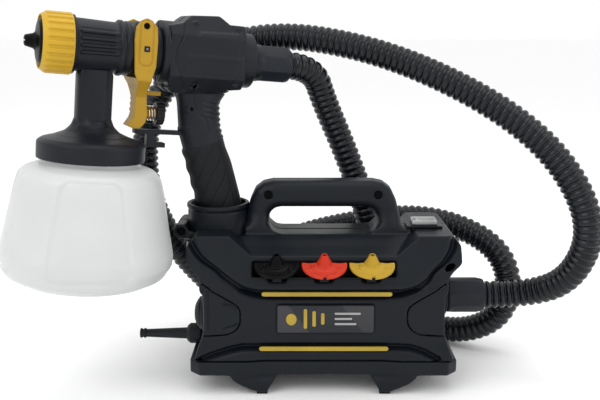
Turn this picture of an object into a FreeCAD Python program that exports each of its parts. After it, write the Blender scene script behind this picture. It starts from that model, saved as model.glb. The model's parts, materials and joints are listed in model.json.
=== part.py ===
import FreeCAD, Part
import math
import os
import re
import Sketcher

# Turbine (HVLP) paint-spray station: a carrying base with its blower, a spray gun parked in
# the base's holder, and the corrugated air hose between them. Millimetres, +Z up, on the floor.
# Two frames are used. BaseFrame stands on the floor under the middle of the base, with +X
# towards the hose outlet and -Y the front. GunFrame lies on the barrel's axis at the trigger,
# with +X towards the hose and +Z up along the grip's side of the barrel.

DIMS = {
    # where the two frames stand
    "base_x": 68, "base_y": 34.5,
    "gun_x": -165.7, "gun_y": -29.7, "gun_z": 316.8, "gun_yaw": 25, "gun_pitch": 5.3,
    # base: outline seen from the front, and its depth
    "wall": 2.8, "gap": 0.4,
    "skirt_x": 125, "skirt_y": 63, "skirt_low": 19, "skirt_top": 32,
    "ankle_x": 119, "ankle_z": 44, "waist_x": 112, "waist_low": 58, "waist_top": 94,
    "hip_x": 117.5, "hip_z": 103, "shoulder_x": 127, "shoulder_low": 124, "shoulder_top": 141,
    "deck_x": 118, "deck_z": 150, "slope_x": 97, "slope_low_x": 56, "slope_z": 131,
    "flare_y": 62, "panel_y": 56, "panel_low": 47, "lip_y": 60.5, "lip_z": 100.5, "brow_y": 52,
    "foot_x": 57.5, "foot_out": 33, "foot_in": 15, "foot_tip": 5, "foot_deep": 30,
    "pad_high": 2.5,
    # carrying handle
    "handle_x": 77, "handle_top_x": 55, "handle_z": 194,
    "handle_half": 17, "open_x": 52, "open_low": 145, "open_top": 169,
    "screw_r": 2.2, "screw_head_r": 3.9, "screw_x": 52, "screw_z": 181,
    "boss_x": 134.6, "boss_y": 24, "boss_z": 147.5, "boss_r": 7,
    # nozzle tray and the three spare air caps in it
    "tray_x": 66, "tray_low": 113, "tray_top": 127.5,
    "notch_x": 8.5, "notch_low": 108.7, "cap_pitch": 43, "cap_tilt": 20, "cap_y": 63.6, "cap_z": 125.2,
    "brim_r": 20.5, "brim_thick": 2.6, "cone_r": 7.2, "cone_tip_r": 2.6, "cone_tall": 10, "peg_r": 1.95,
    # badge, accent bars, switch
    "badge_x": 44.5, "badge_shift": 1.6, "badge_low": 59.5, "badge_top": 85.7, "badge_thick": 1.6,
    "bar_x": 57.6, "bar_shift": 2.7, "bar_half": 2.4, "bar_upper_z": 96.8, "bar_lower_z": 44.2,
    "bar_proud": 2.2,
    "switch_x": 96, "switch_y": -12, "switch_plate_x": 17, "switch_plate_y": 19, "switch_thick": 2.4,
    "rocker_x": 9.5, "rocker_y": 6.5,
    # gun holder
    "holder_x": -101, "rim_z": 172, "rim_r": 29, "socket_r": 25.5, "socket_wall": 2.2,
    "socket_deep": 54, "grip_lean": 14,
    # filter cover (left) and outlet panel (right)
    "side_x": 77.6, "side_low": 56, "side_top": 105,
    # air outlet, its socket and the hose end cuff
    "air_z": 78, "spigot_r": 11, "bore_r": 8.5, "socket_out_r": 19, "socket_in_r": 16.6,
    "socket_x": 103, "socket_end": 121, "cuff_r": 16.2, "cuff_in_r": 11.4, "cuff_end": 159,
    # cable inlet
    "cord_z": 38, "collar_r": 10, "collar_x": -134, "boot_r": 5.6, "boot_tip_r": 3.9,
    "boot_tip_x": -181, "cord_bore_r": 3.2,
    # D-rings
    "lug_z": 131, "ring_r": 10, "wire_r": 1.1, "lug_half": 2.5, "lug_out": 6,
    # blower
    "shroud_r": 33, "shroud_low": -66, "shroud_high": -32, "motor_r": 26, "motor_low": -30,
    "motor_high": 34, "rotor_r": 18, "shaft_r": 4, "bearing_r": 9, "fan_r": 28, "fan_thick": 8,
    "running": 0.05,
    # gun: barrel line, lengths along GunFrame X
    "tip_x": -99.3, "cap_face": -90, "nut_low": -87, "nut_high": -61, "nut_r": 26.5,
    "head_low": -58.6, "head_high": -22, "head_r": 23, "flange_r": 24.6, "tube_r": 21.5,
    "tube_high": 16, "collar_high": 35, "gun_collar_r": 28, "body_high": 97, "body_half": 28,
    "ring_low": 97, "ring_high": 110, "gun_ring_r": 25.5, "gun_ring_z": -2, "body_top": 36,
    "body_low": -36, "air_r": 17.5,
    "spigot_end": 126, "gun_cuff_r": 17, "gun_cuff_end": 146, "gun_cuff_z": -3,
    # grip, trigger and guard
    "grip_x": 55.5, "grip_top": -26, "upper_lean": 7, "grip_upper": 42, "grip_a": 20, "grip_b": 15.5,
    "knee_x": 58.4, "knee_z": -62.3, "lower_lean": 19.3, "grip_lower": 131.2, "cover_thick": 1.4,
    "pivot_x": -1.1, "pivot_z": 20.6, "pin_r": 2.5, "ear_out": 26, "ear_in": 22.3,
    "lever_half": 13, "tab_half": 3, "cross_x": -0.1, "cross_z": 1, "guard_z": -73, "guard_half": 5,
    "post_low": 10,
    "knob_x": 17, "knob_z": -56, "knob_r": 10.5, "knob_long": 7,
    # needle line
    "needle_r": 1.5, "fluid_r": 7, "fluid_in_r": 3, "nozzle_r": 5.5,
    # cup
    "post_x": -39, "post_half": 17, "post_y": 15, "lid_r": 47.5, "lid_top": -81, "lid_low": -100,
    "cup_neck_r": 43, "cup_wall": 2.2, "cup_shoulder_r": 63, "cup_shoulder": -112,
    "cup_r": 78.5, "cup_wide": -190, "cup_foot_r": 56, "cup_low": -222, "tube_out_r": 4,
    # air hose
    "hose_r": 13.5,
}

# Points of the hose's route in BaseFrame: out of the base's cuff, over the right-hand loop and
# the top, down behind the gun and the base, along the floor, round the small right-hand loop,
# behind the handle, and up to the gun's cuff.
HOSE_ROUTE = [
    (159, 0, 78), (203, 0, 78), (236, -30, 103), (246, -52, 160), (210, -45, 226),
    (146, -15, 275), (55, 38, 315), (-45, 75, 332), (-124, 85, 312), (-170, 76, 270),
    (-184, 68, 220), (-180, 66, 160), (-152, 80, 100), (-103, 98, 42), (-40, 108, 14),
    (30, 110, 14), (98, 102, 14), (154, 64, 14), (192, 44, 42), (196, 44, 90),
    (172, 62, 122), (112, 94, 138), (36, 120, 124), (-33, 140, 102), (-88, 164, 58),
    (-88, 212, 18), (-22, 246, 14), (52, 222, 18), (76, 160, 40), (62, 90, 86),
    (46, 71, 156), (23, 70, 216), (2, 60, 264),
]

doc = FreeCAD.newDocument("SprayStation")
sheet = doc.addObject("Spreadsheet::Sheet", "Dims")
nodes = []


def fill_sheet():
    for row, (alias, value) in enumerate(DIMS.items(), start=1):
        sheet.set(f"A{row}", alias)
        sheet.set(f"B{row}", str(value))
        sheet.setAlias(f"B{row}", alias)
    doc.recompute()


def bind(text):
    """Put the sheet's name before each alias in an expression."""
    return re.sub(r"[a-z][a-z_]*", lambda m: f"Dims.{m[0]}" if m[0] in DIMS else m[0], str(text))


def value(text):
    return float(sheet.evalExpression(bind(text)))


def vec(x, y, z):
    return FreeCAD.Vector(value(x), value(y), value(z))


def frames():
    base = doc.addObject("App::Placement", "BaseFrame")
    base.Placement = FreeCAD.Placement(vec("base_x", "base_y", 0), FreeCAD.Rotation())
    gun = doc.addObject("App::Placement", "GunFrame")
    turn = FreeCAD.Rotation(FreeCAD.Vector(0, 0, 1), value("gun_yaw"))
    tilt = FreeCAD.Rotation(FreeCAD.Vector(0, 1, 0), value("gun_pitch"))
    place = FreeCAD.Placement(vec("gun_x", "gun_y", "gun_z"), turn * tilt)
    gun.Placement = base.Placement * place
    return base, gun


AXES = {
    "Z": FreeCAD.Rotation(),
    "X": FreeCAD.Rotation(FreeCAD.Vector(0, 1, 0), 90),
    "Y": FreeCAD.Rotation(FreeCAD.Vector(1, 0, 0), -90),
}


def put(obj, pos, axis="Z"):
    """Place an object at pos, its own Z turned to axis (a name or a Rotation)."""
    turn = AXES.get(axis) if isinstance(axis, str) else axis
    obj.Placement = FreeCAD.Placement(vec(*pos), turn)
    for name, text in zip("xyz", pos):
        obj.setExpression(f"Placement.Base.{name}", bind(text))
    return obj


def solid(kind, sizes, pos, axis="Z"):
    obj = doc.addObject(f"Part::{kind}", kind)
    for name, text in sizes.items():
        setattr(obj, name, value(text))
        obj.setExpression(name, bind(text))
    return put(obj, pos, axis)


def box(low, size):
    return solid("Box", dict(zip(("Length", "Width", "Height"), size)), low)


def cylinder(radius, height, pos, axis="Z"):
    return solid("Cylinder", {"Radius": radius, "Height": height}, pos, axis)


def cone(radius_a, radius_b, height, pos, axis="Z"):
    return solid("Cone", {"Radius1": radius_a, "Radius2": radius_b, "Height": height}, pos, axis)


def join(*shapes):
    obj = doc.addObject("Part::MultiFuse", "Join")
    obj.Shapes = list(shapes)
    return obj


def overlap(*shapes):
    obj = doc.addObject("Part::MultiCommon", "Overlap")
    obj.Shapes = list(shapes)
    return obj


def cut(base, *tools):
    obj = doc.addObject("Part::Cut", "Cut")
    obj.Base = base
    obj.Tool = tools[0] if len(tools) == 1 else join(*tools)
    return obj


def sketch(body, role, points):
    """A closed outline of straight lines in one of the body's planes, each point bound."""
    plane = next(f for f in body.Origin.OriginFeatures if f.Role == role)
    drawing = body.newObject("Sketcher::SketchObject", "Outline")
    drawing.AttachmentSupport = [(plane, "")]
    drawing.MapMode = "FlatFace"
    spots = [(value(a), value(b)) for a, b in points]
    for (ax, ay), (bx, by) in zip(spots, spots[1:] + spots[:1]):
        line = Part.LineSegment(FreeCAD.Vector(ax, ay, 0), FreeCAD.Vector(bx, by, 0))
        drawing.addGeometry(line)
    for i in range(len(spots)):
        follower = (i + 1) % len(spots)
        drawing.addConstraint(Sketcher.Constraint("Coincident", i, 2, follower, 1))
    for i, (pair, spot) in enumerate(zip(points, spots)):
        for kind, text, size in zip(("DistanceX", "DistanceY"), pair, spot):
            row = drawing.addConstraint(Sketcher.Constraint(kind, -1, 1, i, 1, size))
            drawing.setExpression(f"Constraints[{row}]", bind(text))
    return drawing


def slab(role, points, thick, pos=(0, 0, 0), axis="Z"):
    """A plate: the outline padded to both sides of its plane."""
    body = doc.addObject("PartDesign::Body", "Slab")
    pad = body.newObject("PartDesign::Pad", "Pad")
    pad.Profile = sketch(body, role, points)
    pad.Midplane = True
    pad.Length = value(thick)
    pad.setExpression("Length", bind(thick))
    body.Tip = pad
    return put(body, pos, axis)


def turned(points, pos=(0, 0, 0), axis="Z"):
    """A turned piece: the outline, given as (radius, height), spun about the body's Z."""
    body = doc.addObject("PartDesign::Body", "Turned")
    spin = body.newObject("PartDesign::Revolution", "Spin")
    spin.Profile = sketch(body, "XZ_Plane", points)
    spin.ReferenceAxis = (spin.Profile[0], ["V_Axis"])
    spin.Angle = 360
    body.Tip = spin
    return put(body, pos, axis)


def oval(a, b, length, pos, axis):
    """An elliptic bar along axis from pos, for the grip."""
    body = doc.addObject("PartDesign::Body", "Oval")
    plane = next(f for f in body.Origin.OriginFeatures if f.Role == "XY_Plane")
    drawing = body.newObject("Sketcher::SketchObject", "Ellipse")
    drawing.AttachmentSupport = [(plane, "")]
    drawing.MapMode = "FlatFace"
    drawing.addGeometry(Part.Ellipse(FreeCAD.Vector(0, 0, 0), value(a), value(b)))
    pad = body.newObject("PartDesign::Pad", "Pad")
    pad.Profile = drawing
    pad.Length = value(length)
    pad.setExpression("Length", bind(length))
    body.Tip = pad
    return put(body, pos, axis)


def wound(radius, wire, pitch, turns, pos, axis):
    """A coil spring about axis."""
    helix = Part.makeHelix(value(pitch), value(pitch) * turns, value(radius))
    start = FreeCAD.Vector(value(radius), 0, 0)
    ring = Part.Wire(Part.makeCircle(value(wire), start, FreeCAD.Vector(0, 1, 0)))
    pipe = Part.BRepOffsetAPI.MakePipeShell(Part.Wire(helix.Edges))
    pipe.setFrenetMode(True)
    pipe.add(ring)
    pipe.build()
    pipe.makeSolid()
    obj = doc.addObject("Part::Feature", "Coil")
    obj.Shape = pipe.shape()
    return put(obj, pos, axis)


def node(name, obj, frame=None):
    """Name a finished sub-part and stand it in its frame."""
    obj.Label = name
    if frame is not None:
        if obj.TypeId.startswith("Part::Multi") or obj.TypeId == "Part::Cut":
            obj.setExpression("Placement", f"{frame.Name}.Placement")
        else:
            doc.recompute()
            obj = join_one(obj)
            obj.Label = name
            obj.setExpression("Placement", f"{frame.Name}.Placement")
    nodes.append((name, obj))
    return obj


def join_one(obj):
    """Hold one placed piece so that the frame's placement goes on top of its own."""
    holder = doc.addObject("Part::Compound", "Piece")
    holder.Links = [obj]
    return holder


def mirrored(points):
    """Right-hand outline points, bottom to top, and the same ones down the left side."""
    right = [(x, z) for x, z in points]
    left = [(f"-({x})", z) for x, z in reversed(points)]
    return right + left


fill_sheet()
BASE, GUN = frames()


# ---------------------------------------------------------------- base: housings and handle

def body_outline(inset):
    low = f"skirt_top + 0.5 - {inset}"
    return mirrored([
        (f"skirt_x - 4 - {inset}", low), (f"ankle_x - 2 - {inset}", "ankle_z"),
        (f"waist_x - {inset}", "waist_low"), (f"waist_x - {inset}", "waist_top"),
        (f"hip_x - {inset}", "hip_z"), (f"shoulder_x - {inset}", "shoulder_low"),
        (f"shoulder_x - 1.5 - {inset}", "shoulder_top"), (f"deck_x - {inset} / 2", f"deck_z - {inset}"),
    ])


def side_profile(inset, sign):
    """Depth of one half, seen from its end: flared foot, flat panel, leaning brow."""
    low = f"skirt_top + 0.5 - {inset}"
    deep = [("flare_y", low), ("panel_y + 1", "panel_low"), ("panel_y", "panel_low + 3"),
            ("panel_y", "lip_z - 1"), ("lip_y", "lip_z + 2"), ("brow_y", f"deck_z - {inset}")]
    points = [(f"{sign} * ({y} - {inset})", z) for y, z in deep]
    return [("0", low)] + points + [("0", f"deck_z - {inset}")]


def half_solid(inset, sign):
    return overlap(slab("XZ_Plane", body_outline(inset), "2 * skirt_y + 20"),
                   slab("YZ_Plane", side_profile(inset, sign), "2 * shoulder_x + 20"))


def side_region(sign, grow):
    """Rounded field that the filter cover (left) and outlet panel (right) fill."""
    far = "shoulder_x + 18"
    outline = [(far, f"side_low - 2 - {grow}"), ("side_x + 26", f"side_low - {grow}"),
               ("side_x + 16", f"side_low + 0.5 - {grow}"),
               (f"side_x + 10 - {grow} / 3", f"side_low + 1.6 - {grow}"),
               (f"side_x + 5.5 - {grow} / 2", f"side_low + 4 - {grow} / 2"),
               (f"side_x + 2 - {grow}", f"side_low + 8 - {grow} / 3"), (f"side_x - {grow}", "side_low + 13"),
               (f"side_x - {grow}", "side_top - 26"), (f"side_x + 2 - {grow}", f"side_top - 21.6 + {grow} / 3"),
               (f"side_x + 6.4 - {grow} / 2", f"side_top - 18 + {grow} / 2"),
               (f"side_x + 31.4 - {grow} / 2", f"side_top - 3 + {grow} / 2"),
               ("side_x + 38", f"side_top + {grow}"), (far, f"side_top + 2 + {grow}")]
    points = [(f"{sign} * ({x})", z) for x, z in outline]
    return slab("XZ_Plane", points, "2 * skirt_y + 24")


def handle_half(sign):
    outline = mirrored([("handle_x", "deck_z - 6"), ("handle_x - 4", "deck_z + 13"),
                        ("handle_x - 7.5", "deck_z + 26"), ("handle_x - 12.5", "handle_z - 7.5"),
                        ("handle_x - 20", "handle_z - 2"), ("handle_x - 29", "handle_z")])
    arch = slab("XZ_Plane", outline, "2 * handle_half")
    side = box(("-handle_x - 5", "0" if sign > 0 else "-skirt_y", "deck_z - wall"),
               ("2 * handle_x + 10", "skirt_y", "handle_z"))
    return overlap(arch, side)


def handle_opening():
    ends = [(-12, -12), (-6.5, -10.7), (-2.6, -7.6), (-0.4, -3.2),
            (-0.4, 3.2), (-2.6, 7.6), (-6.5, 10.7), (-12, 12)]
    points = mirrored([(f"open_x + {x}", f"(open_low + open_top) / 2 + {z}") for x, z in ends])
    return slab("XZ_Plane", points, "2 * handle_half + 2")


def deck_slope(sign, grow):
    """What the sloping middle of the deck takes off, from the handle's foot to the front edge."""
    rise = [(f"{sign} * (handle_half - {grow})", "deck_z + 9"),
            (f"{sign} * (handle_half - {grow})", f"open_low - {grow}"),
            (f"{sign} * lip_y", f"slope_z - 1 - {grow}"), (f"{sign} * lip_y", "deck_z + 9")]
    spread = mirrored([(f"slope_low_x + {grow}", "slope_z - 8"), (f"slope_x + {grow}", "deck_z + 9")])
    return overlap(slab("YZ_Plane", rise, "2 * shoulder_x"), slab("XZ_Plane", spread, "2 * skirt_y"))


def screw_places():
    return [("-screw_x", "screw_z"), ("screw_x", "screw_z"), ("-boss_x", "boss_z"),
            ("shoulder_x - 9.4", "shoulder_low - 3")]


def boss(sign):
    """Screw boss on the outside of the gun holder."""
    near = "0" if sign > 0 else "-boss_y"
    web = box(("-boss_x", near, "boss_z - boss_r"), ("12", "boss_y", "boss_r"))
    return join(cylinder("boss_r", "boss_y", ("-boss_x", near, "boss_z"), "Y"), web)


def housing(sign):
    """One half of the base's clamshell, hollow, open at its foot."""
    saddle = box(("-open_x - 3", "-handle_half - 3", "open_low - wall"),
                 ("2 * open_x + 6", "2 * handle_half + 6", "wall + 6"))
    outer = cut(half_solid("0", sign), deck_slope(sign, "0"))
    hollow = cut(half_solid("wall", sign), deck_slope(sign, "wall"), saddle)
    channel = box(("-handle_top_x + 9", "-handle_half + 4", "open_top + 4"),
                  ("2 * handle_top_x - 18", "2 * handle_half - 8", "handle_z - open_top - 8"))
    body = join(cut(outer, hollow), handle_half(sign), boss(sign))
    socket_way = join(cylinder("rim_r + gap", "60", ("holder_x", 0, "deck_z - 30")),
                      cylinder("socket_r + socket_wall + gap", "socket_deep + 2",
                               ("holder_x", 0, "rim_z"), socket_axis()))
    bosses = [cylinder("screw_r", "2 * skirt_y", (x, "-skirt_y", z), "Y") for x, z in screw_places()]
    front_sinks = [cylinder("screw_head_r", "30", (x, y, z), "Y")
                   for (x, z), y in zip(screw_places(), sink_depths())]
    air_way = cylinder("socket_out_r + gap", "60", ("socket_x - 20", 0, "air_z"), "X")
    cord_way = join(cylinder("collar_r - 3", "40", ("collar_x", 0, "cord_z"), "X"), collar_seat())
    lugs = [lug_plate(-1), lug_plate(1)]
    switch_way = box(("switch_x - rocker_x - 3", "switch_y - rocker_y - 3", "deck_z - 20"),
                     ("2 * rocker_x + 6", "2 * rocker_y + 6", "40"))
    tools = [handle_opening(), channel, socket_way, side_region(-1, "gap"), side_region(1, "gap"),
             air_way, cord_way, switch_way] + lugs + bosses
    if sign < 0:
        tools += front_sinks
        tools += bars()
        tools += tray_cuts()
    else:
        tools += rear_vents()
    return cut(body, *tools)


def sink_depths():
    """Front end of each screw's counterbore, 30 long."""
    return ["-handle_half - 26", "-handle_half - 26", "-boss_y - 26", "-brow_y - 18"]


def tray_cuts():
    mouth = box(("-tray_x", "-skirt_y - 5", "tray_low"), ("2 * tray_x", "30", "tray_top - tray_low"))
    cuts = [mouth]
    for i in (-1, 0, 1):
        cuts.append(box((f"{i} * cap_pitch - notch_x", "-skirt_y - 5", "notch_low"),
                        ("2 * notch_x", "30", "tray_low - notch_low + 1")))
    return cuts


def rear_vents():
    vents = []
    for row in range(6):
        for column in (-1, 1):
            vents.append(box((f"{column} * 34 - 26", "panel_y - 12", f"58 + 7 * {row}"),
                             ("52", "24", "3.2")))
    return vents


def cover(sign):
    """Curved side cover that wraps both corners of the base at its waist."""
    both = join(half_solid("0", -1), half_solid("0", 1))
    inside = join(half_solid("wall", -1), half_solid("wall", 1))
    field = side_region(sign, "0")
    shell = overlap(cut(both, inside), field)
    if sign > 0:
        return cut(shell, cylinder("socket_out_r + gap", "60", ("socket_x - 20", 0, "air_z"), "X"))
    grip = [box(("-waist_x - 5", f"{6 * i} - 1", "side_low + 8"), ("8", "2", "24"))
            for i in (-3, -2, -1, 0, 1, 2, 3)]
    return cut(shell, *[overlap(rib, cylinder("6", "60", ("-waist_x - 5", "-30", "side_low + 20"), "Y"))
                        for rib in grip])


def collar_seat():
    return cylinder("collar_r + 0.1", "14.4", ("collar_x", 0, "cord_z"), "X")


def base_tray():
    """Skirt and floor with four pointed feet."""
    outline = [("-skirt_x", "-skirt_y + 10"), ("-skirt_x + 10", "-skirt_y"),
               ("skirt_x - 10", "-skirt_y"), ("skirt_x", "-skirt_y + 10"),
               ("skirt_x", "skirt_y - 10"), ("skirt_x - 10", "skirt_y"),
               ("-skirt_x + 10", "skirt_y"), ("-skirt_x", "skirt_y - 10")]
    block = slab("XY_Plane", outline, "skirt_top - skirt_low", (0, 0, "(skirt_top + skirt_low) / 2"))
    inside = join(box(("-skirt_x + 4", "-skirt_y + 12", "skirt_low + wall"),
                      ("2 * skirt_x - 8", "2 * skirt_y - 24", "skirt_top")),
                  box(("-skirt_x + 12", "-skirt_y + 4", "skirt_low + wall"),
                      ("2 * skirt_x - 24", "2 * skirt_y - 8", "skirt_top")))
    feet = [foot(sx, sy) for sx in (-1, 1) for sy in (-1, 1)]
    return join(cut(block, inside, collar_seat()), *feet)


def foot(sx, sy):
    points = [(f"{sx} * (foot_x + foot_out)", "skirt_low + 1"), (f"{sx} * (foot_x + foot_tip)", "pad_high"),
              (f"{sx} * (foot_x - foot_tip)", "pad_high"), (f"{sx} * (foot_x - foot_in)", "skirt_low + 1")]
    return slab("XZ_Plane", points, "foot_deep", (0, f"{sy} * (skirt_y - foot_deep / 2 - 1)", 0))


def foot_pads():
    pads = [box((f"{sx} * foot_x - foot_tip", f"{sy} * (skirt_y - foot_deep / 2 - 1) - 12", 0),
                ("2 * foot_tip", "24", "pad_high")) for sx in (-1, 1) for sy in (-1, 1)]
    return join(*pads)


def screws():
    """Four screws that pull the two housings together."""
    pieces = []
    for (x, z), y in zip(screw_places(), sink_depths()):
        head = cylinder("screw_head_r - 0.3", "3", (x, f"{y} + 27", z), "Y")
        shank = cylinder("screw_r - 0.15", "20", (x, f"{y} + 30", z), "Y")
        pieces.append(join(head, shank))
    return join(*pieces)


# ---------------------------------------------------------------- base: fitted pieces

def nozzle_tray():
    outer = box(("-tray_x - 2", "-lip_y + 8.2", "notch_low - 4"),
                ("2 * tray_x + 4", "22.8", "tray_top - notch_low + 4.4"))
    inner = box(("-tray_x", "-lip_y", "notch_low - 2"), ("2 * tray_x", "29", "32"))
    lean = cap_lean()
    arms = [box((f"{i} * cap_pitch - 4", "-lip_y - 0.8", "notch_low + 0.8"), ("8", "12.3", "3.3"))
            for i in (-1, 0, 1)]
    pegs = [cylinder("peg_r", "18", (f"{i} * cap_pitch", "-cap_y + 4.8", "cap_z - 13.2"), lean)
            for i in (-1, 0, 1)]
    return join(cut(outer, inner), *arms, *pegs)


def cap_lean():
    return FreeCAD.Rotation(FreeCAD.Vector(1, 0, 0), value("cap_tilt"))


def spare_cap(i):
    back = box(("-brim_r - 1", "2", "-1"), ("2 * brim_r + 2", "brim_r", "brim_thick + 2"))
    brim = cut(cylinder("brim_r", "brim_thick", (0, 0, 0)), back)
    stem = cylinder("cone_r", "brim_thick + 0.5", (0, 0, 0))
    peak = cone("cone_r", "cone_tip_r", "cone_tall", (0, 0, "brim_thick"))
    core = cylinder("peg_r + running", "cone_tall + 10", (0, 0, -1))
    nick = box(("-1.5", "-brim_r - 1", "-1"), ("3", "4", "6"))
    hat = cut(join(brim, stem, peak), core, nick)
    holder = doc.addObject("Part::Compound", "Hat")
    holder.Links = [hat]
    return put(holder, (f"{i} * cap_pitch", "-cap_y", "cap_z"), cap_lean())


def badge_plate():
    return box(("badge_shift - badge_x", "-panel_y - badge_thick", "badge_low"),
               ("2 * badge_x", "badge_thick", "badge_top - badge_low"))


def accent_bar(z, back, shift):
    low = f"-({back}) - bar_proud"
    bar = box((f"{shift} - bar_x", low, f"{z} - bar_half"), ("2 * bar_x", "bar_proud", "2 * bar_half"))
    ends = [cylinder("bar_half", "bar_proud", (f"{shift} + {s} * bar_x", low, z), "Y") for s in (-1, 1)]
    return join(bar, *ends)


def bars():
    return [accent_bar("bar_upper_z", "panel_y", "bar_shift"), accent_bar("bar_lower_z", "panel_y + 1", "0")]


def switch_plate():
    plate = box(("switch_x - switch_plate_x", "switch_y - switch_plate_y / 2", "deck_z"),
                ("2 * switch_plate_x", "switch_plate_y", "switch_thick"))
    way = box(("switch_x - rocker_x - 0.6", "switch_y - rocker_y - 0.6", "deck_z - 5"),
              ("2 * rocker_x + 1.2", "2 * rocker_y + 1.2", "20"))
    rim = box(("switch_x - rocker_x - 2.5", "switch_y - rocker_y - 2.5", "deck_z"),
              ("2 * rocker_x + 5", "2 * rocker_y + 5", "switch_thick + 1.6"))
    return cut(join(plate, rim), way)


def switch_body():
    case = box(("switch_x - rocker_x - 2.5", "switch_y - rocker_y - 2.5", "deck_z - 24"),
               ("2 * rocker_x + 5", "2 * rocker_y + 5", "24"))
    well = box(("switch_x - rocker_x - 0.6", "switch_y - rocker_y - 0.6", "deck_z - 9"),
               ("2 * rocker_x + 1.2", "2 * rocker_y + 1.2", "12"))
    return cut(case, well)


def rocker():
    """Rocker, stored pressed at its right end: a flat V about its pivot."""
    points = [("-rocker_x + 0.8", "-3"), ("rocker_x - 0.8", "-3"), ("rocker_x", "2.2"),
              ("0", "4.4"), ("-rocker_x + 1.9", "7.4")]
    body = slab("XZ_Plane", points, "2 * rocker_y - 0.8", ("switch_x", "switch_y", "deck_z"))
    pin = cylinder("1.2", "2 * rocker_y - 0.4", ("switch_x", "switch_y - rocker_y + 0.2", "deck_z - 1"), "Y")
    return join(body, pin)


def socket_axis():
    """The holder leans with the gun's grip, in the gun's own upright plane."""
    yaw = FreeCAD.Rotation(FreeCAD.Vector(0, 0, 1), value("gun_yaw"))
    lean = FreeCAD.Rotation(FreeCAD.Vector(0, 1, 0), 180 - value("grip_lean"))
    return yaw * lean


def holder_sleeve():
    """Round rim, and a leaning socket that takes the grip's end."""
    reach = FreeCAD.Placement(vec("holder_x", 0, "rim_z"), socket_axis())
    mouth = [str(c) for c in reach.multVec(FreeCAD.Vector(0, 0, -40))]
    rim = cylinder("rim_r", "rim_z - deck_z + 8", ("holder_x", 0, "deck_z - 8"))
    socket = cylinder("socket_r + socket_wall", "socket_deep", ("holder_x", 0, "rim_z"), socket_axis())
    above = cylinder("rim_r + 20", "30", ("holder_x", 0, "rim_z"))
    bore = cylinder("socket_r", "socket_deep - socket_wall + 40", mouth, socket_axis())
    return cut(join(rim, cut(socket, above)), bore)


def outlet_socket():
    """Flanged socket in the outlet panel, with the spigot that the hose cuff pushes over."""
    ring = cylinder("socket_out_r", "socket_end - socket_x", ("socket_x", 0, "air_z"), "X")
    hollow = cylinder("socket_in_r", "socket_end - socket_x", ("socket_x + 3", 0, "air_z"), "X")
    spigot = cylinder("spigot_r", "30", ("socket_x", 0, "air_z"), "X")
    way = cylinder("bore_r", "60", ("socket_x - 10", 0, "air_z"), "X")
    return cut(join(cut(ring, hollow), spigot), way)


def outlet_cuff():
    """Hose end cuff: turns on the spigot, with a step for the hose inside its far end."""
    points = [("cuff_in_r", "socket_x + 4"), ("cuff_r - 0.4", "socket_x + 4"), ("cuff_r", "socket_end + 1"),
              ("cuff_r + 0.6", "socket_end + 3"), ("cuff_r", "cuff_end - 6"), ("cuff_r - 1", "cuff_end"),
              ("bore_r", "cuff_end"), ("bore_r", "socket_x + 31"), ("cuff_in_r", "socket_x + 31")]
    return turned(points, (0, 0, "air_z"), "X")


def cord_relief():
    """Round collar and tapered bend relief with a beaded tip, bored for the mains cord."""
    return turned([("cord_bore_r", "boot_tip_x"), ("boot_tip_r + 0.9", "boot_tip_x"),
                   ("boot_tip_r + 0.9", "boot_tip_x + 1.5"), ("boot_tip_r", "boot_tip_x + 3"),
                   ("boot_r", "collar_x"), ("collar_r - 2.5", "collar_x"), ("collar_r", "collar_x + 3"),
                   ("collar_r", "collar_x + 14"), ("collar_r - 3.2", "collar_x + 14"),
                   ("collar_r - 3.2", "collar_x + 24"), ("cord_bore_r", "collar_x + 24")],
                  (0, 0, "cord_z"), "X")


def lug_plate(sign):
    return box((f"{sign} * (shoulder_x - 1.5) - 1.5", "-6", "lug_z - 6"), ("3", "12", "12"))


def ring_lug(sign):
    """Ear that holds a D-ring, screwed to the shoulder."""
    ear = box((f"{sign} * (shoulder_x + lug_out / 2) - lug_out / 2", "-lug_half", "lug_z - 3.5"),
              ("lug_out", "2 * lug_half", "7"))
    hole = cylinder("wire_r + 0.35", "20", (f"{sign} * (shoulder_x + lug_out - 3)", "-10", "lug_z"), "Y")
    return cut(join(lug_plate(sign), ear), hole)


def d_ring(sign):
    """Bent-wire D-ring, hanging from its straight bar through the lug."""
    pin_x = f"{sign} * (shoulder_x + lug_out - 3)"
    bar = cylinder("wire_r", "2 * ring_r", (pin_x, "-ring_r", "lug_z"), "Y")
    drop = "ring_r + 2"
    sides = [cylinder("wire_r", drop, (pin_x, f"{i} * ring_r", f"lug_z - {drop}")) for i in (-1, 1)]
    corners = [solid("Sphere", {"Radius": "wire_r + 0.12"}, (pin_x, f"{i} * ring_r", "lug_z"))
               for i in (-1, 1)]
    bow = solid("Torus", {"Radius1": "ring_r", "Radius2": "wire_r"}, (pin_x, 0, f"lug_z - {drop}"), "X")
    below = box((f"{pin_x} - 5", "-20", f"lug_z - {drop} - 30"), ("10", "40", "30"))
    return join(bar, *sides, *corners, overlap(bow, below))


# ---------------------------------------------------------------- base: blower and wiring

def along_x(points):
    """A turned piece about the air line: (radius, x) outline."""
    return turned(points, (0, 0, "air_z"), "X")


def fan_shroud():
    return along_x([("14", "shroud_low"), ("shroud_r", "shroud_low"), ("shroud_r", "shroud_high"),
                    ("motor_r - 4", "shroud_high"), ("motor_r - 4", "shroud_high - 2"),
                    ("shroud_r - 2.5", "shroud_high - 2"), ("shroud_r - 2.5", "shroud_low + 2.5"),
                    ("14", "shroud_low + 2.5")])


def motor_can():
    return along_x([("bearing_r", "motor_high"), ("motor_r", "motor_high"), ("motor_r", "motor_low"),
                    ("bearing_r", "motor_low"), ("bearing_r", "motor_low + 2"),
                    ("motor_r - 2", "motor_low + 2"), ("motor_r - 2", "motor_high - 2"),
                    ("bearing_r", "motor_high - 2")])


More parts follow.
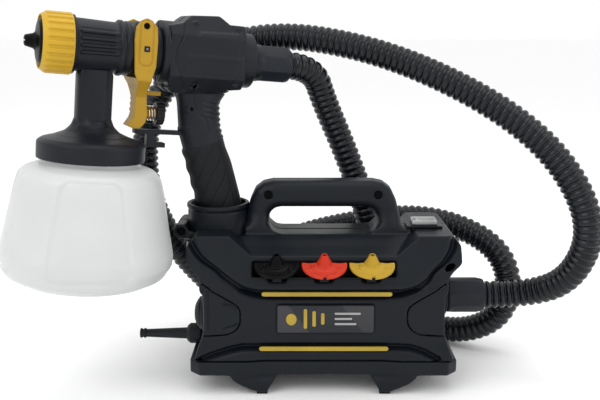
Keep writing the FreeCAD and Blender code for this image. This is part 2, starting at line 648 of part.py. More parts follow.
def stator():
    return along_x([("rotor_r + 0.6", "motor_low + 12"), ("motor_r - 2", "motor_low + 12"),
                    ("motor_r - 2", "motor_high - 12"), ("rotor_r + 0.6", "motor_high - 12")])


def rotor():
    shaft = cylinder("shaft_r", "motor_high - shroud_low - 4", ("shroud_low + 6", 0, "air_z"), "X")
    core = cylinder("rotor_r", "motor_high - motor_low - 26", ("motor_low + 13", 0, "air_z"), "X")
    return join(shaft, core)


def fan(place):
    """Turbine stage: back plate, hub and eight blades."""
    plate = cylinder("fan_r", "1.2", (place, 0, "air_z"), "X")
    hub = cylinder("shaft_r + 3", "fan_thick", (place, 0, "air_z"), "X")
    blades = []
    for k in range(8):
        blade = box(("0", "0", "0"), ("fan_thick", "1.2", "fan_r - shaft_r - 2"))
        turn = FreeCAD.Rotation(FreeCAD.Vector(1, 0, 0), 45 * k)
        arm = FreeCAD.Placement(vec(place, 0, "air_z"), turn)
        blade.Placement = arm * FreeCAD.Placement(vec(0, "-0.6", "shaft_r + 2"), FreeCAD.Rotation())
        for name in "xyz":
            blade.setExpression(f"Placement.Base.{name}", None)
        blades.append(blade)
    bore = cylinder("shaft_r", "30", (f"{place} - 5", 0, "air_z"), "X")
    return cut(join(plate, hub, *blades), bore)


def bearing(place):
    return along_x([("shaft_r + running", place), ("bearing_r", place),
                    ("bearing_r", f"{place} + 6"), ("shaft_r + running", f"{place} + 6")])


def motor_mounts():
    """Rubber rings on stands that carry the motor."""
    mounts = []
    for x in ("motor_low + 5", "motor_high - 11"):
        ring = along_x([("motor_r", x), ("motor_r + 3", x), ("motor_r + 3", f"{x} + 6"),
                        ("motor_r", f"{x} + 6")])
        stand = box((x, "-9", "skirt_low + wall"), ("6", "18", "air_z - motor_r - 2.9 - skirt_low - wall + 1"))
        mounts.append(join(ring, stand))
    return join(*mounts)


def outlet_duct():
    return along_x([("motor_r - 2", "motor_high"), ("motor_r", "motor_high"), ("motor_r", "motor_high + 6"),
                    ("bore_r + 3", "motor_high + 30"), ("bore_r + 3", "socket_x"),
                    ("bore_r", "socket_x"), ("bore_r", "motor_high + 29"), ("motor_r - 2", "motor_high + 5")])


def filter_foam():
    return box(("-waist_x + 6", "-34", "side_low + 3"), ("12", "68", "40"))


# ---------------------------------------------------------------- gun: shells and grip

def barrel(points):
    """A turned piece about the barrel's line: (radius, x) outline."""
    return turned(points, (0, 0, 0), "X")


def lean(alias):
    """Turns Z downwards, leaning towards the hose by the angle in the cell."""
    return FreeCAD.Rotation(FreeCAD.Vector(0, 1, 0), 180 - value(alias))


def grip_bar(inset, extra):
    """Upper grip, nearly upright, and lower grip, which leans more."""
    upper = oval(f"grip_a - {inset}", f"grip_b - {inset}", "grip_upper", ("grip_x", 0, "grip_top"),
                 lean("upper_lean"))
    lower = oval(f"grip_a - {inset}", f"grip_b - {inset}", f"grip_lower + {extra}",
                 ("knee_x", 0, "knee_z"), lean("lower_lean"))
    return join(upper, lower)


def gun_outer():
    side = [("tube_high + 5", "-27"), ("30", "body_low"), ("73", "body_low + 3"), ("78", "-31"),
            ("body_high", "-29"), ("body_high", "29"), ("79", "29"), ("68", "body_top"),
            ("41", "body_top - 2"), ("collar_high - 2", "27"), ("tube_high + 5", "24")]
    across = [("-14", "body_low - 1"), ("14", "body_low - 1"), ("body_half", "-20"), ("body_half", "16"),
              ("15", "body_top + 1"), ("-15", "body_top + 1"), ("-body_half", "16"), ("-body_half", "-20")]
    block = overlap(slab("XZ_Plane", side, "2 * body_half + 8"), slab("YZ_Plane", across, "300"))
    collar = cylinder("gun_collar_r", "collar_high - tube_high", ("tube_high", 0, 0), "X")
    ring = cylinder("gun_ring_r", "ring_high - ring_low + 2", ("ring_low - 2", 0, "gun_ring_z"), "X")
    return join(block, collar, ring, grip_bar("0", "0"))


def gun_inner():
    air = cylinder("air_r", "ring_high - tube_high - 6", ("tube_high - 1", 0, 0), "X")
    way = cylinder("spigot_r + 0.2", "20", ("ring_high - 10", 0, "gun_cuff_z"), "X")
    return join(air, way, grip_bar("wall", "-3"))


def gun_shell(sign):
    half = box(("-20", "0" if sign > 0 else "-60", "-200"), ("160", "60", "260"))
    holes = [cylinder("1.6", "60", (x, "-30", z), "Y") for x, z in gun_screw_places()]
    tab_slot = box(("17", "-tab_half - 0.6", "-38"), ("21", "2 * tab_half + 1.2", "9"))
    wells = [cylinder("2.8", "60", (x, "-70", z), "Y") for x, z in gun_screw_places()]
    return cut(overlap(cut(gun_outer(), gun_inner()), half), tab_slot, *holes, *wells)


def gun_screw_places():
    return [("44", "25.5"), ("88", "23"), ("46", "-28"), ("88", "-23"), ("46.5", "-50")]


def gun_screws():
    pieces = [join(cylinder("1.5", "22", (x, "-10", z), "Y"), cylinder("2.6", "1.6", (x, "-11.6", z), "Y"))
              for x, z in gun_screw_places()]
    return join(*pieces)


def grip_cover():
    """Rubber sleeve over the lower grip."""
    turn = lean("lower_lean")
    start = FreeCAD.Placement(vec("knee_x", 0, "knee_z"), turn).multVec(FreeCAD.Vector(0, 0, 20))
    sleeve = oval("grip_a + cover_thick", "grip_b + cover_thick", "grip_lower - 53",
                  [str(c) for c in start], turn)
    return cut(sleeve, grip_bar("0", "20"))


def guard():
    """Arm under the trigger, with its post and the foot that rests on a hook."""
    arm = box(("-2", "-guard_half", "guard_z - 2"), ("46", "2 * guard_half", "4"))
    post = box(("post_low", "-guard_half", "guard_z - 14"), ("7", "2 * guard_half", "13"))
    sole = box(("post_low", "-guard_half", "guard_z - 14"), ("17", "2 * guard_half", "4.5"))
    return cut(join(arm, post, sole), grip_bar("0", "10"))


# ---------------------------------------------------------------- gun: head and needle line

def neck_tube():
    """Air tube behind the head: a spoked seat for the needle's spring, slots for the trigger's
    cross screw, and a boss for its pivot pin."""
    tube = barrel([("17", "-11"), ("tube_r", "-11"), ("tube_r", "tube_high"), ("17", "tube_high")])
    boss = cut(box(("pivot_x - 5", "-ear_in + 0.3", "14"), ("10", "2 * ear_in - 0.6", "10.5")),
               cylinder("17", "40", ("-20", 0, 0), "X"))
    seat = cylinder("17.2", "2", ("13.5", 0, 0), "X")
    holes = []
    for k in range(6):
        angle = math.radians(60 * k)
        spot = ("12", str(round(12.2 * math.cos(angle), 3)), str(round(12.2 * math.sin(angle), 3)))
        holes.append(cylinder("3.6", "6", spot, "X"))
    slot = box(("-4", "-30", "-3"), ("12", "60", "7"))
    pin = cylinder("pin_r", "60", ("pivot_x", "-30", "pivot_z"), "Y")
    return cut(join(tube, boss, seat), slot, pin, *holes)


def pivot_pin():
    return cylinder("pin_r", "2 * ear_out", ("pivot_x", "-ear_out", "pivot_z"), "Y")


def spray_head():
    """Air sleeve with its side ribs and rear flange rings, open below for the paint stem."""
    sleeve = barrel([("19.5", "head_low"), ("head_r", "head_low"), ("head_r", "head_high"),
                     ("flange_r", "head_high + 1.5"), ("flange_r", "head_high + 4.5"),
                     ("head_r", "head_high + 5"), ("head_r", "head_high + 6.5"),
                     ("flange_r - 0.6", "head_high + 7"), ("flange_r - 0.6", "-11"), ("19.5", "-11")])
    crest = cut(cylinder("head_r + 1.2", "33", ("head_low + 3", 0, 0), "X"),
                cylinder("head_r - 1", "60", ("head_low - 10", 0, 0), "X"))
    ribs = [overlap(crest, box(("head_low", "-40" if s < 0 else "0", f"6 * {i} - 1.2"), ("50", "40", "2.4")))
            for s in (-1, 1) for i in (-1, 0, 1, 2)]
    return cut(join(sleeve, *ribs), cylinder("8", "20", ("post_x", 0, "-30")))


def head_flange():
    """Front wall of the head with the threaded boss that the nut runs on."""
    return barrel([("fluid_r", "nut_high"), ("10", "nut_high"), ("20", "nut_high"), ("20", "nut_high - 11"),
                   ("23.3", "nut_high - 11"), ("23.3", "nut_high"), ("nut_r - 1", "nut_high + 0.2"),
                   ("nut_r - 1", "head_low"), ("fluid_r", "head_low")])


def fluid_body():
    """Paint passage: a pipe along the barrel and its stem down to the cup's lid."""
    pipe = cylinder("fluid_r", "42", ("nut_high - 4", 0, 0), "X")
    stem = cylinder("6", "-lid_top - 2", ("post_x", 0, "lid_top"))
    way = cylinder("fluid_in_r", "60", ("nut_high - 5", 0, 0), "X")
    down = cylinder("fluid_in_r", "-lid_top + 1", ("post_x", 0, "lid_top - 1"))
    return cut(join(pipe, stem), way, down)


def packing_nut():
    return barrel([("needle_r + running", "nut_high + 38"), ("6", "nut_high + 38"), ("6", "nut_high + 44"),
                   ("needle_r + running", "nut_high + 44")])


def fluid_nozzle():
    return barrel([("needle_r + running", "cap_face + 1"), ("needle_r + 0.9", "cap_face + 1"),
                   ("nozzle_r", "nut_low + 9"), ("nozzle_r + 3", "nut_low + 12"),
                   ("nozzle_r + 3", "nut_high - 4"), ("needle_r + running", "nut_high - 4")])


def air_cap():
    """Domed cap with its pointed tip, turned by hand under the nut."""
    return barrel([("needle_r + 1.2", "tip_x"), ("3.4", "tip_x"), ("4.6", "cap_face - 1.5"),
                   ("9", "cap_face"), ("17", "cap_face + 2"), ("21.8", "nut_low + 3"),
                   ("21.8", "nut_low + 8"), ("17", "nut_low + 8"), ("15", "cap_face + 6"),
                   ("needle_r + 1.2", "cap_face + 0.6")])


def retaining_nut():
    body = barrel([("22.2", "nut_low"), ("nut_r - 4", "nut_low"), ("nut_r - 1", "nut_low + 4"),
                   ("nut_r - 1", "nut_high"), ("23.6", "nut_high"), ("23.6", "nut_low + 8.2"),
                   ("22.2", "nut_low + 8.2")])
    seat = FreeCAD.Placement(vec("nut_low + 5", "-1.5", "nut_r - 1.7"), FreeCAD.Rotation())
    ribs = []
    for k in range(24):
        rib = doc.addObject("Part::Box", "Rib")
        rib.setExpression("Length", bind("nut_high - nut_low - 5"))
        rib.Width = 3
        rib.setExpression("Height", bind("1.7"))
        turn = FreeCAD.Rotation(FreeCAD.Vector(1, 0, 0), 15 * k)
        rib.Placement = FreeCAD.Placement(FreeCAD.Vector(), turn) * seat
        ribs.append(rib)
    return join(body, *ribs)


def needle():
    """Needle with the carrier that the trigger's cross screw pulls."""
    rod = cylinder("needle_r", "-tip_x - 4", ("tip_x + 3", 0, 0), "X")
    point = cone("0.6", "needle_r", "3", ("tip_x", 0, 0), "X")
    carrier = cylinder("5.5", "8", ("-4", 0, 0), "X")
    slot = box(("cross_x - 1.75", "-10", "cross_z - 2.3"), ("3.5", "20", "4.6"))
    return cut(join(rod, point, carrier), slot)


# ---------------------------------------------------------------- gun: trigger and flow control

def trigger():
    """Yoke over the neck tube, one lever below it, a stop tab, finger ridges and a hooked toe."""
    side = [("-11", "8"), ("-10", "19"), ("-6", "25"), ("-1", "27.3"), ("4", "25.5"), ("8.5", "20"),
            ("9.5", "8"), ("9", "-14"), ("6", "-24"), ("5.5", "-42"), ("-4", "-42"), ("-5", "-31"),
            ("-9.5", "-20")]
    taper = mirrored([("lever_half", "-60"), ("lever_half", "-42"), ("ear_out", "-27"), ("ear_out", "40")])
    yoke = cut(overlap(slab("XZ_Plane", side, "2 * ear_out"), slab("YZ_Plane", taper, "60")),
               box(("-20", "-ear_in", "-24.5"), ("40", "2 * ear_in", "60")))
    front = [("-4.4", "-36"), ("-3.4", "-42"), ("-4.6", "-44"), ("-3.4", "-46"), ("-4.6", "-49"),
             ("-3.6", "-51"), ("-4.8", "-54"), ("-3.8", "-56"), ("-5.2", "-61"), ("-9.8", "-68")]
    back = [("-4", "-70.3"), ("2", "-69.5"), ("6.5", "-64"), ("7.5", "-58"), ("6", "-36")]
    lever = slab("XZ_Plane", front + back, "2 * lever_half")
    tab = box(("5", "-tab_half", "-40"), ("16", "2 * tab_half", "4"))
    pivot = cylinder("pin_r + running", "70", ("pivot_x", "-35", "pivot_z"), "Y")
    cross = cylinder("1.6", "70", ("cross_x", "-35", "cross_z"), "Y")
    screw_way = cylinder("3", "8", ("2", 0, "knob_z"), "X")
    return cut(join(yoke, lever, tab), pivot, cross, screw_way)


def cross_screw():
    """Screw through both ears that carries the needle."""
    shank = cylinder("1.6", "2 * ear_out - 1", ("cross_x", "-ear_out + 0.5", "cross_z"), "Y")
    return shank


def flow_screw():
    """Threaded bush in the trigger for the flow knob."""
    bush = cylinder("3", "8", ("2", 0, "knob_z"), "X")
    thread = cylinder("5", "knob_x - 7.5", ("7.5", 0, "knob_z"), "X")
    return join(bush, thread)


def flow_spring():
    return wound("6.4", "0.6", "2.6", 3, ("8.4", 0, "knob_z"), "X")


def flow_knob():
    """Fluted knob behind the trigger; its end meets the grip and so sets the trigger's travel."""
    body = cylinder("knob_r", "knob_long", ("knob_x", 0, "knob_z"), "X")
    flutes = []
    for k in range(16):
        angle = math.radians(22.5 * k)
        spot = (f"knob_x + 1", f"{round(math.cos(angle), 4)} * (knob_r + 0.5)",
                f"knob_z + {round(math.sin(angle), 4)} * (knob_r + 0.5)")
        flutes.append(cylinder("1.1", "20", spot, "X"))
    return cut(body, *flutes)


# ---------------------------------------------------------------- gun: cup

def cup_lid():
    """Screw lid, its flared shoulder and the post up to the head."""
    lid = turned([("8", "lid_top - 3"), ("8", "lid_top"), ("post_half + 1", "lid_top + 17"),
                  ("post_half + 3", "lid_top + 11"), ("post_half + 7.5", "lid_top + 6"),
                  ("post_half + 16", "lid_top + 2"), ("lid_r - 4", "lid_top - 1"), ("lid_r", "lid_top - 4"),
                  ("lid_r", "lid_low"), ("lid_r - 3", "lid_low"), ("lid_r - 3", "lid_top - 6"),
                  ("8", "lid_top - 6")], ("post_x", 0, 0))
    post = box(("post_x - post_half", "-post_y", "lid_top + 2"), ("2 * post_half", "2 * post_y", "60"))
    stem_way = cylinder("6", "60", ("post_x", 0, "lid_top - 8"))
    room = cylinder("9", "66", ("post_x", 0, "lid_top + 3"))
    head = cylinder("flange_r", "80", ("-80", 0, 0), "X")
    above = box(("post_x - 30", "-30", "0"), ("60", "60", "40"))
    return cut(join(lid, post), stem_way, room, head, above)


def lid_gasket():
    return turned([("cup_neck_r - 6", "lid_top - 7.6"), ("cup_neck_r", "lid_top - 7.6"),
                   ("cup_neck_r", "lid_top - 6.1"), ("cup_neck_r - 6", "lid_top - 6.1")],
                  ("post_x", 0, 0))


def cup():
    """Blown cup: threaded neck, sloping shoulder, flared wall and a rounded foot."""
    skin = [("cup_neck_r", "lid_top - 7.8"), ("cup_neck_r", "lid_low - 3"),
            ("cup_shoulder_r - 5", "cup_shoulder + 4"),
            ("cup_shoulder_r", "cup_shoulder - 2"), ("cup_r", "cup_wide"), ("cup_r - 2", "cup_wide - 9"),
            ("cup_r - 9", "cup_low + 10"), ("cup_foot_r", "cup_low")]
    lining = [(f"{r} - cup_wall", z) for r, z in skin[:-1]]
    lining[0] = ("cup_neck_r - cup_wall", "lid_top - 7.8")
    foot = [("0", "cup_low"), ("0", "cup_low + cup_wall"), ("cup_foot_r - 1", "cup_low + cup_wall")]
    return turned(skin + foot + list(reversed(lining)), ("post_x", 0, 0))


def pickup_tube():
    return turned([("fluid_in_r", "lid_top"), ("tube_out_r", "lid_top"), ("tube_out_r", "cup_low + 8"),
                   ("fluid_in_r", "cup_low + 8")], ("post_x", 0, "-0.01"))


# ---------------------------------------------------------------- gun: hose end

def about_cuff(points):
    return turned(points, (0, 0, "gun_cuff_z"), "X")


def gun_spigot():
    return about_cuff([("bore_r", "ring_high - 12"), ("14", "ring_high - 12"), ("14", "ring_high - 9"),
                       ("spigot_r", "ring_high - 9"), ("spigot_r", "spigot_end"), ("bore_r", "spigot_end")])


def gun_cuff():
    return about_cuff([("cuff_in_r", "ring_high + 0.3"), ("gun_cuff_r", "ring_high + 0.3"),
                       ("gun_cuff_r + 0.6", "ring_high + 5"), ("gun_cuff_r", "gun_cuff_end - 6"),
                       ("gun_cuff_r - 1.5", "gun_cuff_end"), ("bore_r", "gun_cuff_end"),
                       ("bore_r", "spigot_end + 1"), ("cuff_in_r", "spigot_end + 1")])


# ---------------------------------------------------------------- air hose

def hose_points():
    """The route in the document's own frame, ending straight into the gun's cuff."""
    points = [BASE.Placement.multVec(FreeCAD.Vector(*p)) for p in HOSE_ROUTE]
    for reach in ("28", "0"):
        spot = vec(f"gun_cuff_end + {reach}", 0, "gun_cuff_z")
        points.append(GUN.Placement.multVec(spot))
    return points


def corner(before, here, after):
    """Tangent arc at a point: start, middle, end, and its radius."""
    a = (before - here).normalize()
    b = (after - here).normalize()
    half_turn = (math.pi - a.getAngle(b)) / 2
    reach = 0.45 * min((before - here).Length, (after - here).Length)
    radius = reach / math.tan(half_turn)
    middle = (a + b).normalize()
    offset = radius / math.cos(half_turn) - radius
    return here + a * reach, here + middle * offset, here + b * reach, radius


def air_hose():
    """Plain tube along the hose's path: straight runs joined by tangent arcs."""
    points = hose_points()
    edges = []
    radii = []
    here = points[0]
    for before, spot, after in zip(points, points[1:], points[2:]):
        start, middle, end, radius = corner(before, spot, after)
        edges.append(Part.LineSegment(here, start).toShape())
        edges.append(Part.Arc(start, middle, end).toShape())
        radii.append(round(radius))
        here = end
    edges.append(Part.LineSegment(here, points[-1]).toShape())
    path = Part.Wire(edges)
    direction = points[1] - points[0]
    section = Part.Wire(Part.makeCircle(value("hose_r"), points[0], direction))
    tube = path.makePipeShell([section], True, False)
    expected = math.pi * value("hose_r") ** 2 * path.Length
    print(f"hose {path.Length:.0f} long, volume ratio {tube.Volume / expected:.4f}, radii {radii}")
    obj = doc.addObject("Part::Feature", "Tube")
    obj.Shape = tube
    return obj


def build():
    node("front_housing", housing(-1), BASE)
    node("rear_housing", housing(1), BASE)
    node("base_tray", base_tray(), BASE)
    node("foot_pads", foot_pads(), BASE)
    node("housing_screws", screws(), BASE)
    node("nozzle_tray", nozzle_tray(), BASE)
    for i, colour in enumerate(("black", "red", "yellow")):
        node(f"spare_cap_{colour}", spare_cap(i - 1), BASE)
    node("badge_plate", badge_plate(), BASE)
    node("accent_bars", join(*bars()), BASE)
    node("switch_plate", switch_plate(), BASE)
    node("switch_body", switch_body(), BASE)
    node("rocker", rocker(), BASE)
    node("holder_sleeve", holder_sleeve(), BASE)
    node("filter_cover", cover(-1), BASE)
    node("outlet_panel", cover(1), BASE)
    node("filter_foam", filter_foam(), BASE)
    node("outlet_socket", outlet_socket(), BASE)
    node("outlet_cuff", outlet_cuff(), BASE)
    node("cord_relief", cord_relief(), BASE)
    node("ring_lugs", join(ring_lug(-1), ring_lug(1)), BASE)
    node("d_ring_left", d_ring(-1), BASE)
    node("d_ring_right", d_ring(1), BASE)
    node("fan_shroud", fan_shroud(), BASE)
    node("motor_can", motor_can(), BASE)
    node("stator", stator(), BASE)
    node("rotor", rotor(), BASE)
    node("fans", join(fan("shroud_low + 8"), fan("shroud_low + 20")), BASE)
    node("bearings", join(bearing("motor_low"), bearing("motor_high - 6")), BASE)
    node("motor_mounts", motor_mounts(), BASE)
    node("outlet_duct", outlet_duct(), BASE)
    node("gun_shell_left", gun_shell(-1), GUN)
    node("gun_shell_right", gun_shell(1), GUN)
    node("gun_screws", gun_screws(), GUN)
    node("grip_cover", grip_cover(), GUN)
    node("trigger_guard", guard(), GUN)
    node("neck_tube", neck_tube(), GUN)
    node("pivot_pin", pivot_pin(), GUN)
    node("spray_head", spray_head(), GUN)
    node("head_flange", head_flange(), GUN)
    node("fluid_body", fluid_body(), GUN)
    node("packing_nut", packing_nut(), GUN)
    node("fluid_nozzle", fluid_nozzle(), GUN)
    node("air_cap", air_cap(), GUN)
    node("retaining_nut", retaining_nut(), GUN)
    node("needle", needle(), GUN)
    node("needle_spring", wound("7", "0.6", "2", 4, ("4.9", 0, 0), "X"), GUN)
    node("trigger", trigger(), GUN)
    node("cross_screw", cross_screw(), GUN)
    node("flow_screw", flow_screw(), GUN)
    node("flow_spring", flow_spring(), GUN)
    node("flow_knob", flow_knob(), GUN)
    node("cup_lid", cup_lid(), GUN)
    node("lid_gasket", lid_gasket(), GUN)
    node("cup", cup(), GUN)
    node("pickup_tube", pickup_tube(), GUN)
    node("gun_spigot", gun_spigot(), GUN)
    node("gun_cuff", gun_cuff(), GUN)
    node("air_hose", air_hose())
    doc.recompute()


def check_and_export():
    for obj in doc.Objects:
        if "Invalid" in obj.State or "Error" in obj.State:
            raise RuntimeError(f"{obj.Name} ({obj.Label}) failed: {obj.State}")
    os.makedirs("parts", exist_ok=True)
    for name, obj in nodes:
        shape = obj.Shape
        if shape.isNull() or not shape.isValid() or not shape.Solids:
            raise RuntimeError(f"{name} has no valid shape")
        shape.exportStep(f"parts/{name}.step")
    whole = FreeCAD.BoundBox()
    for name, obj in nodes:
        if name != "air_hose":
            whole.add(obj.Shape.BoundBox)
    print(len(nodes), "nodes, box without the hose", whole)


build()
check_and_export()
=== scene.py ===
import json
import math

import bmesh
import bpy
import numpy as np
from mathutils import Matrix, Vector


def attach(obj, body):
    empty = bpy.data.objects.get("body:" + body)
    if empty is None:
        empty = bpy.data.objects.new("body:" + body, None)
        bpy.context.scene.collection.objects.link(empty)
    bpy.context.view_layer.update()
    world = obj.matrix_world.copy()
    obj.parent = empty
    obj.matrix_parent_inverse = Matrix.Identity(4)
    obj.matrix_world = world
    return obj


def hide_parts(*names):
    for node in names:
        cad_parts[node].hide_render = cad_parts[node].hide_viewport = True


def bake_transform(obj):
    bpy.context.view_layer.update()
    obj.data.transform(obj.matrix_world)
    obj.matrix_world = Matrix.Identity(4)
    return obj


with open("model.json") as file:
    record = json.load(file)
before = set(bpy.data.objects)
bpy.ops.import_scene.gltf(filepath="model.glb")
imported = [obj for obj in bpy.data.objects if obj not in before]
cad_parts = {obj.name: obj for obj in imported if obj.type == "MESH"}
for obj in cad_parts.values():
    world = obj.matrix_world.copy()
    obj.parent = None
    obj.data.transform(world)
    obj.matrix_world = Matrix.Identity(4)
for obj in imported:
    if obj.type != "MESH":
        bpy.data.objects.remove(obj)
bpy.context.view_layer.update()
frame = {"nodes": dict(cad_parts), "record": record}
record = frame["record"]
MM = 0.001

# ---------------------------------------------------------------- where things stand

JOINTS = {j["name"]: j for j in record["behaviour"]["joints"]}
BODY_OF = {n: b for b, nodes in record["behaviour"]["bodies"].items() for n in nodes}
SLOT_OF = {s["node"]: s["material_slot"] for s in record["subparts"]}


def joint_axis(name):
    return Vector(JOINTS[name]["axis"]).normalized()


def base_frame():
    """Metres from base millimetres: the blower's joint stands 78 above the base's middle."""
    spot = Vector(JOINTS["rotor_spin"]["pos_m"])
    return Matrix.Translation((spot.x, spot.y, 0)) @ Matrix.Scale(MM, 4)


def gun_frame():
    """Metres from gun millimetres: X back along the barrel, Z up, from the trigger's pivot."""
    back, up, side = joint_axis("needle_slide"), joint_axis("cup_turn"), -joint_axis("trigger_pull")
    turn = Matrix((back, side, up)).transposed().to_4x4()
    spot = Vector(JOINTS["trigger_pull"]["pos_m"])
    origin = spot - (back * -1.1 + up * 20.6) * MM
    return Matrix.Translation(origin) @ turn @ Matrix.Scale(MM, 4)


BASE = base_frame()
GUN = gun_frame()


# ---------------------------------------------------------------- camera, light and floor

FOCAL_LENGTH_MM = 50.1
SENSOR_MM = 36
EYE = (0.046, -0.7555, 0.334)
LOOK_DOWN_DEG = 11.5


def camera():
    lens = bpy.data.cameras.new("Camera")
    lens.lens = FOCAL_LENGTH_MM
    lens.sensor_width = SENSOR_MM
    eye = bpy.data.objects.new("Camera", lens)
    eye.location = EYE
    eye.rotation_euler = (math.radians(90 - LOOK_DOWN_DEG), 0, 0)
    bpy.context.scene.collection.objects.link(eye)
    bpy.context.scene.camera = eye


def soft_light(name, spot, aim, size, watts):
    lamp = bpy.data.lights.new(name, "AREA")
    lamp.shape = "RECTANGLE"
    lamp.size, lamp.size_y = size
    lamp.energy = watts
    stand = bpy.data.objects.new(name, lamp)
    stand.location = spot
    stand.rotation_euler = (Vector(aim) - Vector(spot)).to_track_quat("-Z", "Y").to_euler()
    bpy.context.scene.collection.objects.link(stand)


def studio():
    scene = bpy.context.scene
    scene.view_settings.view_transform = "Standard"
    world = bpy.data.worlds.new("Studio")
    world.use_nodes = True
    sky = world.node_tree.nodes["Background"]
    sky.inputs["Color"].default_value = (1, 1, 1, 1)
    sky.inputs["Strength"].default_value = 1.0
    scene.world = world
    soft_light("KeyLight", (-0.9, -1.1, 1.5), (0, 0, 0.15), (1.2, 0.9), 9)
    soft_light("TopLight", (0.1, 0.1, 1.6), (0, 0, 0.1), (1.4, 1.0), 6)
    soft_light("SideLight", (1.3, -0.5, 0.7), (0.1, 0, 0.15), (0.7, 1.0), 3.5)
    floor = bpy.data.meshes.new("Floor")
    floor.from_pydata([(-30, -30, 0), (30, -30, 0), (30, 30, 0), (-30, 30, 0)], [], [(0, 1, 2, 3)])
    ground = bpy.data.objects.new("Floor", floor)
    scene.collection.objects.link(ground)
    paper = bpy.data.materials.new("FloorPaper")
    paper.use_nodes = True
    shader = paper.node_tree.nodes["Principled BSDF"]
    shader.inputs["Base Color"].default_value = (0.97, 0.97, 0.97, 1)
    shader.inputs["Roughness"].default_value = 0.9
    floor.materials.append(paper)


camera()
studio()


# ---------------------------------------------------------------- finishes

def finish(name, colour, rough, grain=0.5, relief=0.03, spread=0.12, metal=0.0, coat=0.0,
           dust=0.06, shine=0.2, **extra):
    """A moulded, turned or rubber surface: grain in mm across, relief in mm, uneven tone and gloss."""
    mat = bpy.data.materials.new(name)
    mat.use_nodes = True
    nodes, links = mat.node_tree.nodes, mat.node_tree.links
    shader = nodes["Principled BSDF"]
    shader.inputs["Metallic"].default_value = metal
    shader.inputs["Coat Weight"].default_value = coat
    shader.inputs["Coat Roughness"].default_value = 0.25
    shader.inputs["Specular IOR Level"].default_value = 0.5 if metal else shine
    for key, amount in extra.items():
        shader.inputs[key.replace("_", " ")].default_value = amount
    where = nodes.new("ShaderNodeTexCoord")

    def noise(size_mm, detail):
        tex = nodes.new("ShaderNodeTexNoise")
        tex.inputs["Scale"].default_value = 1000 / size_mm
        tex.inputs["Detail"].default_value = detail
        links.new(where.outputs["Object"], tex.inputs["Vector"])
        return tex.outputs["Fac"]

    def spread_to(source, low, high):
        ranged = nodes.new("ShaderNodeMapRange")
        ranged.inputs["From Min"].default_value = 0.3
        ranged.inputs["From Max"].default_value = 0.7
        ranged.inputs["To Min"].default_value = low
        ranged.inputs["To Max"].default_value = high
        links.new(source, ranged.inputs["Value"])
        return ranged.outputs["Result"]

    cloud = noise(34, 5)
    fine = noise(grain, 3)
    tone = nodes.new("ShaderNodeMix")
    tone.data_type = "RGBA"
    tone.inputs["A"].default_value = (*[c * (1 - spread) for c in colour], 1)
    tone.inputs["B"].default_value = (*[min(1, c * (1 + spread) + dust * 0.02) for c in colour], 1)
    links.new(spread_to(cloud, 0, 1), tone.inputs["Factor"])
    links.new(tone.outputs["Result"], shader.inputs["Base Color"])
    gloss = nodes.new("ShaderNodeMath")
    links.new(spread_to(cloud, rough - dust, rough + dust), gloss.inputs[0])
    links.new(spread_to(fine, -dust / 2, dust / 2), gloss.inputs[1])
    links.new(gloss.outputs["Value"], shader.inputs["Roughness"])
    bump = nodes.new("ShaderNodeBump")
    bump.inputs["Distance"].default_value = relief * MM
    bump.inputs["Strength"].default_value = 1
    links.new(fine, bump.inputs["Height"])
    links.new(bump.outputs["Normal"], shader.inputs["Normal"])
    return mat


